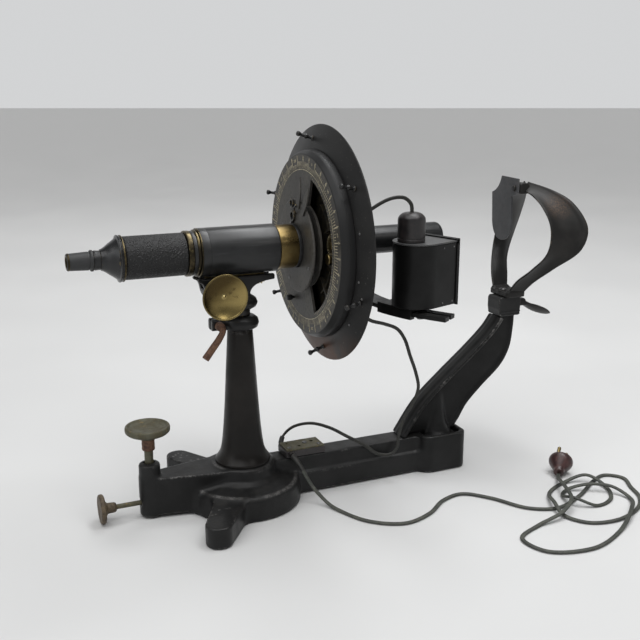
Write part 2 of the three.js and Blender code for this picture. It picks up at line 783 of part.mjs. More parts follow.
// Screw that holds the face frame's foot down on the clamp block.
function clampScrew() {
  const seat = footTop + gap;
  const profile = [
    [0, 210.5], [2, 210.5], [2, seat], [5, seat], [5, seat + 1.6], [4.4, seat + 2.4], [0, seat + 2.4],
  ];
  return part('clamp_screw', agedBrass(), solid(turned(profile, 'z', 14).translate(clampScrewX, 0, 0)));
}

// Edges of the near wing of the face frame; the far wing mirrors them.
const wingFront = [
  [364, -17, 229], [368, -28, 245], [378, -44, 262], [391, -59, 287], [396, -56, 317], [394, -40, 341],
  [391, -20, 355], [388, -4, 360],
];
const wingRear = [
  [387, -17, 226], [395, -29, 242], [409, -51, 263], [433, -73, 290], [442, -72, 317], [434, -50, 347],
  [419, -29, 361], [397, -4, 371],
];

// A curved sheet between two edge curves, with an even thickness.
function wing(side) {
  const lengthwise = 20;
  const across = 3;
  const thickness = 2.6;
  const vector = ([x, y, z]) => new THREE.Vector3(x, side * y, z);
  const front = new THREE.CatmullRomCurve3(wingFront.map(vector));
  const rear = new THREE.CatmullRomCurve3(wingRear.map(vector));
  const geometry = new THREE.BoxGeometry(1, 1, 1, lengthwise, across, 1);
  const places = geometry.getAttribute('position');
  const place = new THREE.Vector3();
  for (let i = 0; i < places.count; i += 1) {
    const along = places.getX(i) + 0.5;
    const over = places.getY(i) + 0.5;
    const start = front.getPoint(along);
    const end = rear.getPoint(along);
    const normal = front.getTangent(along).cross(end.clone().sub(start)).normalize();
    const bow = 5 * Math.sin(Math.PI * over) * Math.sin(Math.PI * along);
    place.copy(start).lerp(end, over);
    place.addScaledVector(normal, side * bow + thickness * places.getZ(i));
    places.setXYZ(i, place.x, place.y, place.z);
  }
  return solid(geometry);
}

function faceFrame() {
  const foot = box(361, 390, -20, 20, clampTop + gap, footTop);
  const screwHole = solid(turned(rodProfile(2.3, 200, footTop + 10), 'z', 12).translate(clampScrewX, 0, 0));
  const brow = box(381, 396, -9, 9, browZ - 7, browZ + 7);
  const pinHole = solid(turned(rodProfile(2.3, 370, 410), 'x', 12).translate(0, 0, browZ));
  return part('face_frame', japan(), cut(union(wing(1), wing(-1), foot, brow), pinHole, screwHole));
}

function chinRest() {
  const leaf = new THREE.SphereGeometry(1, 14, 8);
  leaf.rotateX(Math.PI / 2);
  const places = leaf.getAttribute('position');
  for (let i = 0; i < places.count; i += 1) {
    const along = places.getX(i);
    const across = places.getY(i);
    const bowl = leafRise * across ** 2 - leafBelly * (1 - along ** 2);
    places.setXYZ(i, leafLength * along, leafWidth * across, 2 * places.getZ(i) + bowl);
  }
  leaf.rotateY(THREE.MathUtils.degToRad(25));
  leaf.translate(420, 0, 201);
  const stem = box(388 + gap, 400, -7, 7, 206, 216);
  return part('chin_rest', japan(), union(solid(leaf), stem));
}

function occluder() {
  const shape = new THREE.Shape();
  shape.moveTo(-8, browZ + 13);
  shape.lineTo(-8, browZ - 6);
  shape.lineTo(5.5, browZ - 11);
  shape.lineTo(3, 320);
  shape.bezierCurveTo(3, 303, 12, 292, 25, 292);
  shape.bezierCurveTo(38, 292, 47, 303, 47.5, 320);
  shape.lineTo(50, browZ - 9);
  shape.quadraticCurveTo(34, browZ - 4, 29.5, browZ + 14);
  shape.closePath();
  const sheet = solid(endPlate(shape, occluderX, occluderX + occluderThickness, 0, 6));
  const pinHole = solid(turned(rodProfile(2.3, 370, 410), 'x', 12).translate(0, 0, browZ));
  return part('occluder', satinBlack(), sheet.subtract(pinHole));
}

function occluderPin() {
  const profile = [
    [0, occluderX - 2.6], [4, occluderX - 2.6], [4, occluderX - gap], [2, occluderX - gap],
    [2, 396 + gap], [3.6, 396 + gap], [3.6, 398.6], [0, 398.6],
  ];
  return part('occluder_pin', agedBrass(), solid(turned(profile, 'x', 12).translate(0, 0, browZ)));
}

// ---------- screws ----------
function levellingFoot() {
  const pad = solid(turned(rodProfile(5, 0, 3), 'z', 14).translate(noseX, 0, 0));
  return part('levelling_foot', rustySteel(), pad);
}

function levellingScrew() {
  const profile = [
    [0, 3.3], [5.1, 3.3], [5.1, 82], [7.4, 83.4], [7.7, 88], [7.4, 94], [9.5, 97], [15, 100.5], [23, 103.6],
    [25.9, 106], [26.1, 110], [25, 112.2], [23, 112], [21, 110.2], [0, 108.2],
  ];
  return part('levelling_screw', greenBrass(), solid(turned(profile, 'z', 20).translate(noseX, 0, 0)));
}

function lockScrew() {
  const profile = [
    [0, -175.4], [16, -175.4], [17.4, -174], [17.4, -171], [16, -169.6], [9, -168.6], [6.2, -166],
    [5.8, -158], [4.6, -156], [2.9, -155.4], [2.9, noseX - 5.7], [0, noseX - 5.7],
  ];
  return part('lock_screw', greenBrass(), solid(turned(profile, 'x', 18).translate(0, 0, lockScrewHeight)));
}

// ---------- terminal block and leads ----------
// Block with a ferrule on its near side for the mains lead and one on its far side for the lamp's.
function terminalBlock() {
  const halfWidth = 14.5;
  const ferrules = solid(turned(rodProfile(3.9, -halfWidth - 3, halfWidth + 3), 'y', 12)
    .translate(ferruleX, 0, ferruleZ));
  const block = box(51.5, 103.5, -halfWidth, halfWidth, railTop + gap, 56);
  return part('terminal_block', bakelite(), union(block, ferrules));
}

function terminalPlate() {
  return part('terminal_plate', greenBrass(), box(52.5, 102.5, -13.7, 13.7, 56 + gap, 58.2));
}

function lead(name, diameter, points, steps) {
  const path = new THREE.CatmullRomCurve3(points.map(([x, y, z]) => new THREE.Vector3(x, y, z)));
  const round = new THREE.Shape().absarc(0, 0, diameter / 2, 0, 2 * Math.PI);
  const geometry = new THREE.ExtrudeGeometry(round, { extrudePath: path, steps, curveSegments: 4 });
  return part(name, rubber(), solid(geometry));
}

// Lamp lead: from the terminal block along the rail, up behind the disc, to the lamp cap.
const lampLeadRoute = [
  [ferruleX, 19.2, ferruleZ], [59.4, 24.4, 54], [64, 28.4, 60.4], [76, 26, 71], [96, 15, 77],
  [118, 6, 71], [138, -6, 60], [156, -17, 50], [174, -20, 36], [192, -21.5, 32.5],
  [200, -23.5, 40], [202, -25, 58], [208, -26, 80], [220, -27, 99],
  [227, -28, 120], [223, -28, 140], [214, -28, 164], [205, -29, 187], [193, -31, 202], [174, -34, 211],
  [152, -38, 219], [136, -42, 232], [125, -45, 254], [119, -48, 280], [118, -51, 306],
  [120, -54, 328], [127, -60, 346], [142, -67, 360], [160, -73, 369],
  [174, -76, 369], [181.6, -77.8, 362], [capX, capY, 354], [capX, capY, 347.4],
];

// Mains lead: from the terminal block to the table, then in loose loops to its plug.
const mainsRoute = [
  [ferruleX, -19.3, ferruleZ], [59, -24.4, 50.2], [63, -33, 42], [72, -47, 21], [84, -64, 6],
  [92, -84, 3], [112, -122, 3],
  [148, -143, 3], [186, -133, 3], [220, -109, 3], [250, -103, 3], [276, -127, 3],
  [302, -168, 3], [334, -182, 3], [380, -166, 3], [424, -139, 3], [450, -130, 3],
  [466, -146, 3], [456, -172, 3], [446, -198, 3], [422, -221, 3], [380, -235, 3],
  [344, -227, 3], [328, -202, 4], [331, -180, 9], [350, -146, 3.6], [386, -128, 3.4], [417, -133, 9.4],
  [427, -156, 4.4], [411, -187, 3], [382, -196, 3], [360, -181, 9.8], [360, -159, 4],
  [378, -147, 4], [400, -155, 9], [424, -171, 9], [432, -196, 4], [406, -228, 8.6], [362, -258, 3],
  [308, -277, 3], [258, -262, 3], [250, -228, 3], [284, -210, 3], [324, -204, 9],
  [350, -187, 13], [362, -162, 14], [372, -138, 12], [381, -123, 7.4], [389.6, -112.4, 7],
];

// Round two-pin plug lying on its rim, with its pins raised and the lead at its back.
function plug() {
  const body = solid(turned([
    [0, plugGap], [6, plugGap], [6.8, 2], [7, 7], [9, 9], [12, 14], [15.3, 20.5], [15.5, 24],
    [14.6, 26], [0, 26],
  ], 'z', 18));
  const pins = [-6.5, 6.5].map((x) => solid(turned([
    [0, 25], [2.4, 25], [2.4, 42.5], [1.4, 44], [0, 44],
  ], 'z', 8).translate(x, 0, 0)));
  const whole = union(body, ...pins);
  const heading = new THREE.Vector3(1, 1, 0).normalize().multiplyScalar(Math.cos(plugRise));
  heading.z = Math.sin(plugRise);
  const turn = new THREE.Quaternion().setFromUnitVectors(new THREE.Vector3(0, 0, 1), heading);
  const mesh = part('mains_plug', bakelite(), whole);
  mesh.quaternion.copy(turn);
  mesh.position.set(...mainsRoute[mainsRoute.length - 1]);
  return mesh;
}

// ---------- assembly ----------
const model = new THREE.Group();
model.add(
  baseCasting(),
  column(),
  clampCollar(),
  clampLever(),
  swivelPost(),
  saddle(),
  pinionShaft(),
  focusKnob(),
  pinionCap(),
  levellingFoot(),
  levellingScrew(),
  lockScrew(),
  terminalBlock(),
  terminalPlate(),
);
model.add(
  mainBarrel(),
  focusRack(),
  rearCollar(),
  drawTube(),
  bellFlange(),
  eyepieceTube(),
  eyecup(),
  lens('eye_lens', -190.3, 6.2, 1.2, 0.8),
  lens('field_lens', -150, 7, 1.6, 1),
  brassSleeve(),
  innerDisc(),
  pointer('pointer_left', THREE.MathUtils.degToRad(13)),
  pointer('pointer_right', THREE.MathUtils.degToRad(31)),
  objectiveTube(),
  lens('objective_lens', 256, 14.6, 3, 1.4),
  doublingPrism(),
);
model.add(
  dialPlate(),
  coneDisc(),
  scaleWheel(),
  settingKnob(),
  armBracket(),
  arcArm(),
  lampCarriage(),
  lampHouse(),
  lampLid(),
  mireGlass(),
  mireFrame(),
  socketCap(),
  bulb(),
);
for (let number = 1; number <= pegCount; number += 1) model.add(peg(number));
model.add(
  headrestArm(),
  clampBlock(),
  clampScrew(),
  faceFrame(),
  chinRest(),
  occluder(),
  occluderPin(),
);
model.add(
  lead('lamp_lead', lampLeadDiameter, lampLeadRoute, 50),
  lead('mains_lead', mainsDiameter, mainsRoute, 80),
  plug(),
);

export default model;
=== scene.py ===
"""Looks of an antique ophthalmometer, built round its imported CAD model.

The piece functions work in millimetres, and `piece` turns them into metres. The frame is the
model's: the origin on the column's axis at table level, +X along the rail from the observer to
the patient, +Z up.
"""
import json
import math

import bmesh
import bpy
import numpy as np
from mathutils import Matrix, Vector


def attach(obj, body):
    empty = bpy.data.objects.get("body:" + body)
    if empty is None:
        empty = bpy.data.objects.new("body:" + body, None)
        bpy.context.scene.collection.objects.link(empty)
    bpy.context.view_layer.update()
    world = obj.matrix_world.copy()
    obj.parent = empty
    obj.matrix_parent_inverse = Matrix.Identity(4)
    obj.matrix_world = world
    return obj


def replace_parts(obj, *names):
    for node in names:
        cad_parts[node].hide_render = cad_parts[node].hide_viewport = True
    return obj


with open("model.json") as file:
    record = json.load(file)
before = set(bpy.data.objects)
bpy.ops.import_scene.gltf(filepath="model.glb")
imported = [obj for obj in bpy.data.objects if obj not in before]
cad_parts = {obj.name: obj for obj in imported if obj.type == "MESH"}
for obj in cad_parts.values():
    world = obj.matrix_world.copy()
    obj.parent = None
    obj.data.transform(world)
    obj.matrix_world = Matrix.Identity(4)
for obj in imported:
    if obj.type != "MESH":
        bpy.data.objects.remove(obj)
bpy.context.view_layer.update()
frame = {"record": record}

MM = 0.001
AXIS = 309.5  # height of the telescope's axis
NOSE_X = -115.0
PINION = (-28.0, 0.0, 263.5)
DIAL_X = 81.4  # face of the dial
FIGURE_RADIUS = 99.2
EYE_X = 387.0
ARM_RADIUS = 216.0
LAMP_PLACE = (226.6, -63.6, 0.0)
LAMP_AIM = 19.0
CAP_PLACE = (183.0, -78.0, 0.0)
BROW_Z = 363.0
CLAMP_SCREW_X = 368.0
ABOUT_TELESCOPE = ((0, 0, AXIS), (0, 1, 1))
TINY = 1e-6

BODY_OF = {
    node: body
    for body, nodes in frame["record"]["behaviour"]["bodies"].items()
    for node in nodes
}


# ---------- meshes as plain points and faces ----------
class Form:
    """Points in millimetres and the faces that join them."""

    def __init__(self, points, faces):
        self.points = np.asarray(points, float).reshape(-1, 3)
        self.faces = [tuple(face) for face in faces]

    def __add__(self, other):
        shift = len(self.points)
        faces = self.faces + [tuple(i + shift for i in face) for face in other.faces]
        return Form(np.vstack([self.points, other.points]), faces)

    def moved(self, x=0.0, y=0.0, z=0.0):
        return Form(self.points + (x, y, z), self.faces)

    def turned(self, axis, degrees):
        turn = np.array(Matrix.Rotation(math.radians(degrees), 3, axis))
        return Form(self.points @ turn.T, self.faces)

    def led(self, direction):
        """Turned so that its +Z points along the direction."""
        turn = np.array(Vector(direction).to_track_quat("Z", "Y").to_matrix())
        return Form(self.points @ turn.T, self.faces)


def gathered(forms):
    forms = list(forms)
    whole = forms[0]
    for form in forms[1:]:
        whole = whole + form
    return whole


TO_AXIS = {"X": (2, 0, 1), "Y": (1, 2, 0), "Z": (0, 1, 2)}


STRAIGHT = -0.985  # cosine between the sides of a corner too blunt to round
ARC_STEPS = 3


def rounded(profile, size=0.5, closed=None):
    """The profile with an arc of about the given size at each corner."""
    points = [np.array(p, float) for p in profile]
    if closed is None:
        closed = profile[0][0] > TINY
    result = []
    for i, point in enumerate(points):
        if not closed and i in (0, len(points) - 1):
            result.append(point)
            continue
        back = points[i - 1] - point
        ahead = points[(i + 1) % len(points)] - point
        long_back, long_ahead = np.linalg.norm(back), np.linalg.norm(ahead)
        if back @ ahead < STRAIGHT * long_back * long_ahead:
            result.append(point)
            continue
        start = point + back / long_back * min(size, 0.45 * long_back)
        end = point + ahead / long_ahead * min(size, 0.45 * long_ahead)
        for step in range(ARC_STEPS + 1):
            t = step / ARC_STEPS
            result.append((1 - t) ** 2 * start + 2 * t * (1 - t) * point + t * t * end)
    return [tuple(p) for p in result]


def smooth_line(points, count):
    """Points evenly along a centripetal Catmull-Rom curve through the given ones."""
    knots = [np.array(p, float) for p in points]
    knots = [2 * knots[0] - knots[1], *knots, 2 * knots[-1] - knots[-2]]
    line = []
    for a, b, c, d in zip(knots, knots[1:], knots[2:], knots[3:]):
        ta = np.linalg.norm(b - a) ** 0.5
        tb = ta + np.linalg.norm(c - b) ** 0.5
        tc = tb + np.linalg.norm(d - c) ** 0.5
        for t in np.linspace(ta, tb, 24, endpoint=False):
            p = a + (b - a) * t / ta
            q = b + (c - b) * (t - ta) / (tb - ta)
            r = c + (d - c) * (t - tb) / (tc - tb)
            u = p + (q - p) * t / tb
            v = q + (r - q) * (t - ta) / (tc - ta)
            line.append(u + (v - u) * (t - ta) / (tb - ta))
    line = np.array(line + [knots[-2]])
    along = np.concatenate([[0], np.cumsum(np.linalg.norm(np.diff(line, axis=0), axis=1))])
    at = np.linspace(0, along[-1], count)
    return np.stack([np.interp(at, along, column) for column in line.T], axis=1)


def lathe(profile, axis="Z", segments=96, centre=(0, 0, 0)):
    """A profile of (radius, distance along the axis) turned round the axis.
    It closes on itself when it starts off the axis."""
    angles = np.arange(segments) * 2 * math.pi / segments
    points, rings = [], []
    for radius, along in profile:
        if radius < TINY:
            rings.append([len(points)] * segments)
            points.append((0, 0, along))
            continue
        rings.append(list(range(len(points), len(points) + segments)))
        points += [(radius * math.cos(a), radius * math.sin(a), along) for a in angles]
    if profile[0][0] > TINY:
        rings.append(rings[0])
    faces = []
    for low, high in zip(rings, rings[1:]):
        for i in range(segments):
            j = (i + 1) % segments
            face = list(dict.fromkeys((low[i], low[j], high[j], high[i])))
            if len(face) > 2:
                faces.append(face)
    points = np.array(points)[:, TO_AXIS[axis]]
    return Form(points + centre, faces)


def telescopic(profile, size=0.5, segments=128):
    """A shape turned round the telescope's axis."""
    return lathe(rounded(profile, size), "X", segments, (0, 0, AXIS))


def prism(outline, low, high, axis="Z"):
    """A flat outline pushed from one level to another along the axis.
    The outline is in (y, z) for X, in (x, z) for Y and in (x, y) for Z."""
    order = {"X": (2, 0, 1), "Y": (0, 2, 1), "Z": (0, 1, 2)}[axis]
    count = len(outline)
    points = np.array([(u, v, w) for w in (low, high) for u, v in outline])[:, order]
    faces = [tuple(range(count)), tuple(range(2 * count - 1, count - 1, -1))]
    for i in range(count):
        j = (i + 1) % count
        faces.append((i, j, j + count, i + count))
    return Form(points, faces)


def block(x0, x1, y0, y1, z0, z1):
    return prism([(x0, y0), (x1, y0), (x1, y1), (x0, y1)], z0, z1)


def arc(radius, start, end, steps, centre=(0, 0)):
    angles = np.radians(np.linspace(start, end, steps + 1))
    return [(centre[0] + radius * math.cos(a), centre[1] + radius * math.sin(a)) for a in angles]


def swept(path, section, up=(0, 0, 1), sizes=None):
    """A section of (sideways, upwards) points carried along a path.
    Its upward side turns gently towards the given direction."""
    path = np.asarray(path, float)
    section = np.asarray(section, float)
    ahead = np.gradient(path, axis=0)
    ahead /= np.linalg.norm(ahead, axis=1)[:, None]
    wanted = np.asarray(up, float)
    high = wanted - (wanted @ ahead[0]) * ahead[0]
    if np.linalg.norm(high) < 0.1:
        high = np.cross(ahead[0], (1.0, 0.0, 0.0))
    points = []
    for i, (place, along) in enumerate(zip(path, ahead)):
        high = high - (high @ along) * along
        high /= np.linalg.norm(high)
        pull = wanted - (wanted @ along) * along
        high = high + 0.12 * pull * (np.linalg.norm(pull) ** 2)
        high /= np.linalg.norm(high)
        side = np.cross(along, high)
        size = 1.0 if sizes is None else sizes[i]
        points.append(place + size * (section[:, :1] * side + section[:, 1:] * high))
    count = len(section)
    faces = [tuple(range(count))[::-1]]
    for ring in range(len(path) - 1):
        for i in range(count):
            j = (i + 1) % count
            low = ring * count
            faces.append((low + i, low + j, low + count + j, low + count + i))
    last = (len(path) - 1) * count
    faces.append(tuple(range(last, last + count)))
    return Form(np.vstack(points), faces)


def round_section(radius, sides=20):
    return arc(radius, 0, 360 - 360 / sides, sides - 1)


# ---------- soft-edged solids from distance fields ----------
def polygon_distance(outline, u, v):
    """Signed distance from a polygon, negative inside."""
    near = np.inf
    sign = 1.0
    for (ax, ay), (bx, by) in zip(outline, [*outline[1:], outline[0]]):
        ex, ey = bx - ax, by - ay
        wx, wy = u - ax, v - ay
        share = np.clip((wx * ex + wy * ey) / (ex * ex + ey * ey), 0, 1)
        near = np.minimum(near, (wx - ex * share) ** 2 + (wy - ey * share) ** 2)
        starts, ends, left = v >= ay, v < by, ex * wy > ey * wx
        sign = np.where((starts & ends & left) | (~starts & ~ends & ~left), -sign, sign)
    return sign * np.sqrt(near)


def turned_distance(profile, radius, height):
    """Distance from a turned profile, read from a table because radius is a plane's."""
    step = 0.5
    reach = np.arange(0, float(radius.max()) + 2 * step, step)[:, None]
    table = polygon_distance(profile, reach, height.reshape(1, -1))
    place = radius[:, :, 0] / step
    low = place.astype(int)
    share = (place - low)[:, :, None]
    return table[low] * (1 - share) + table[low + 1] * share


def slot_distance(u, v, start, start_radius, end, end_radius):
    """Distance from a slot between two circles, in the plane."""
    along = np.array(end, float) - start
    share = ((u - start[0]) * along[0] + (v - start[1]) * along[1]) / (along @ along)
    share = np.clip(share, 0, 1)
    away = np.hypot(u - start[0] - along[0] * share, v - start[1] - along[1] * share)
    return away - (start_radius + (end_radius - start_radius) * share)


def pushed(flat, height, low, high):
    """Distance from a plane shape pushed from one height to another."""
    over = np.abs(height - (low + high) / 2) - (high - low) / 2
    return np.minimum(np.maximum(flat, over), 0) + np.hypot(
        np.maximum(flat, 0), np.maximum(over, 0)
    )


def block_distance(x, y, z, x0, x1, y0, y1, z0, z1):
    flat = pushed(np.abs(x - (x0 + x1) / 2) - (x1 - x0) / 2, y, y0, y1)
    return pushed(flat, z, z0, z1)


def joined(first, second, fillet):
    share = np.clip(0.5 + 0.5 * (second - first) / fillet, 0, 1)
    return second + (first - second) * share - fillet * share * (1 - share)


def less(first, second, fillet=0.6):
    return -joined(-first, second, fillet)


def rounded_rectangle(u, v, u0, u1, v0, v1, corner):
    over_u = np.abs(u - (u0 + u1) / 2) - (u1 - u0) / 2 + corner
    over_v = np.abs(v - (v0 + v1) / 2) - (v1 - v0) / 2 + corner
    outside = np.hypot(np.maximum(over_u, 0), np.maximum(over_v, 0))
    return outside + np.minimum(np.maximum(over_u, over_v), 0) - corner


def blurred(values):
    """The grid with each value mixed with its neighbours along the three axes."""
    for axis in range(3):
        ends = [(1, 1) if a == axis else (0, 0) for a in range(3)]
        padded = np.pad(values, ends, mode="edge")
        low, middle, high = (
            np.take(padded, range(k, k + values.shape[axis]), axis) for k in range(3)
        )
        values = 0.25 * low + 0.5 * middle + 0.25 * high
    return values


def sampled(values, places):
    """Trilinear reading of a grid at places in grid units."""
    low = np.clip(np.floor(places).astype(int), 0, np.array(values.shape) - 2)
    share = places - low
    total = 0.0
    for corner in np.ndindex(2, 2, 2):
        weight = np.prod(np.where(corner, share, 1 - share), axis=1)
        total = total + weight * values[tuple((low + corner).T)]
    return total


def solid_of(field, low, high, step):
    """The surface where a distance field is zero, with its edges softened.
    The field is read on a grid from low to high, and each cell that the surface crosses gives
    one point, which is then drawn onto the surface."""
    axes = [np.arange(a, b + step, step) for a, b in zip(low, high)]
    x, y, z = np.meshgrid(*axes, indexing="ij", sparse=True)
    values = np.broadcast_to(field(x, y, z), [len(a) for a in axes]).astype(float)
    values = blurred(np.clip(values, -6 * step, 6 * step))
    inside = values < 0
    cells = np.array(values.shape) - 1
    total = np.zeros((*cells, 3))
    count = np.zeros(cells, int)
    quads = []
    for axis in range(3):
        b, c = (axis + 1) % 3, (axis + 2) % 3
        lower = [slice(None)] * 3
        upper = [slice(None)] * 3
        lower[axis], upper[axis] = slice(0, -1), slice(1, None)
        start, end = values[tuple(lower)], values[tuple(upper)]
        crossing = inside[tuple(lower)] != inside[tuple(upper)]
        found = np.argwhere(crossing)
        place = found.astype(float)
        place[:, axis] += start[crossing] / (start[crossing] - end[crossing])
        around = []
        for shift_b, shift_c in ((0, 0), (-1, 0), (-1, -1), (0, -1)):
            cell = found.copy()
            cell[:, b] += shift_b
            cell[:, c] += shift_c
            np.add.at(total, tuple(cell.T), place)
            np.add.at(count, tuple(cell.T), 1)
            around.append(np.ravel_multi_index(tuple(cell.T), tuple(cells)))
        around = np.stack(around, axis=1)
        quads.append(np.where(inside[tuple(lower)][crossing][:, None], around, around[:, ::-1]))
    used = count > 0
    index = np.full(count.size, -1)
    index[np.flatnonzero(used)] = np.arange(used.sum())
    places = total[used] / count[used][:, None]
    for _ in range(2):
        slope = np.stack(
            [
                sampled(values, places + half) - sampled(values, places - half)
                for half in 0.5 * np.eye(3)
            ],
            axis=1,
        )
        value = sampled(values, places)
        places -= slope * (value / np.maximum((slope**2).sum(1), 1e-6))[:, None]
    return Form(places * step + np.array(low), index[np.vstack(quads)].tolist())


# ---------- Blender pieces ----------
def shown(name, data):
    """A new object in the scene."""
    made = bpy.data.objects.new(name, data)
    bpy.context.scene.collection.objects.link(made)
    return made


def outward_mesh(name, points, faces):
    """A mesh whose faces all look outwards."""
    mesh = bpy.data.meshes.new(name)
    mesh.from_pydata(points.tolist(), [], faces)
    shell = bmesh.new()
    shell.from_mesh(mesh)
    bmesh.ops.recalc_face_normals(shell, faces=shell.faces)
    shell.to_mesh(mesh)
    shell.free()
    return mesh


def piece(name, form, material, body, sharp=32.0):
    """A Blender object from a form, riding on a CAD body."""
    mesh = outward_mesh(name, form.points * MM, form.faces)
    mesh.shade_smooth()
    mesh.set_sharp_from_angle(angle=math.radians(sharp))
    mesh.materials.append(material)
    made = shown(name, mesh)
    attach(made, body)
    return made


def stand_in(node, form, material, sharp=32.0):
    """The detailed piece that is shown instead of a CAD node."""
    made = piece("fine_" + node, form, material, BODY_OF[node], sharp)
    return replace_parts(made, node)


def bevelled(made, width):
    """The piece with its sharp edges broken by a bevel."""
    bevel = made.modifiers.new("soft_edges", "BEVEL")
    bevel.width = width * MM
    bevel.segments = 2
    bevel.limit_method = "ANGLE"
    bevel.angle_limit = math.radians(30)
    bevel.harden_normals = True
    return made


def carved(form, *cutters):
    """The form with the cutters' space taken out of it."""
    body, *tools = (
        shown("carving", outward_mesh("carving", shape.points, shape.faces))
        for shape in (form, *cutters)
    )
    for tool in tools:
        cut = body.modifiers.new("cut", "BOOLEAN")
        cut.operation = "DIFFERENCE"
        cut.solver = "EXACT"
        cut.object = tool
    bpy.context.view_layer.update()
    result = body.evaluated_get(bpy.context.evaluated_depsgraph_get()).to_mesh()
    points = [tuple(v.co) for v in result.vertices]
    faces = [tuple(p.vertices) for p in result.polygons]
    for made in [body, *tools]:
        mesh = made.data
        bpy.data.objects.remove(made)
        bpy.data.meshes.remove(mesh)
    return Form(points, faces)


def lettering(text, height):
    """Raised figures, centred on the origin and facing +Z."""
    curve = bpy.data.curves.new("figures", "FONT")
    curve.body = text
    curve.size = height
    curve.align_x = "CENTER"
    curve.align_y = "CENTER"
    curve.extrude = 0.06
    curve.resolution_u = 3
    made = bpy.data.objects.new("figures", curve)
    mesh = bpy.data.meshes.new_from_object(made)
    points = [tuple(v.co) for v in mesh.vertices]
    faces = [tuple(p.vertices) for p in mesh.polygons]
    bpy.data.objects.remove(made)
    bpy.data.curves.remove(curve)
    bpy.data.meshes.remove(mesh)
    return Form(points, faces)


def screw_head(radius, height, slot_turn=20.0):
    """A slotted, slightly domed screw head that stands on z = 0 and points along +Z."""
    head = lathe(
        rounded(
            [(0, -0.4), (radius, -0.4), (radius, 0.6 * height), (0.6 * radius, height), (0, height)],
            0.25 * height,
        ),
        segments=24,
    )
    width = max(0.22 * radius, 0.3)
    slot = block(-2 * radius, 2 * radius, -width, width, 0.55 * height, 2 * height)
    return carved(head, slot.turned("Z", slot_turn))


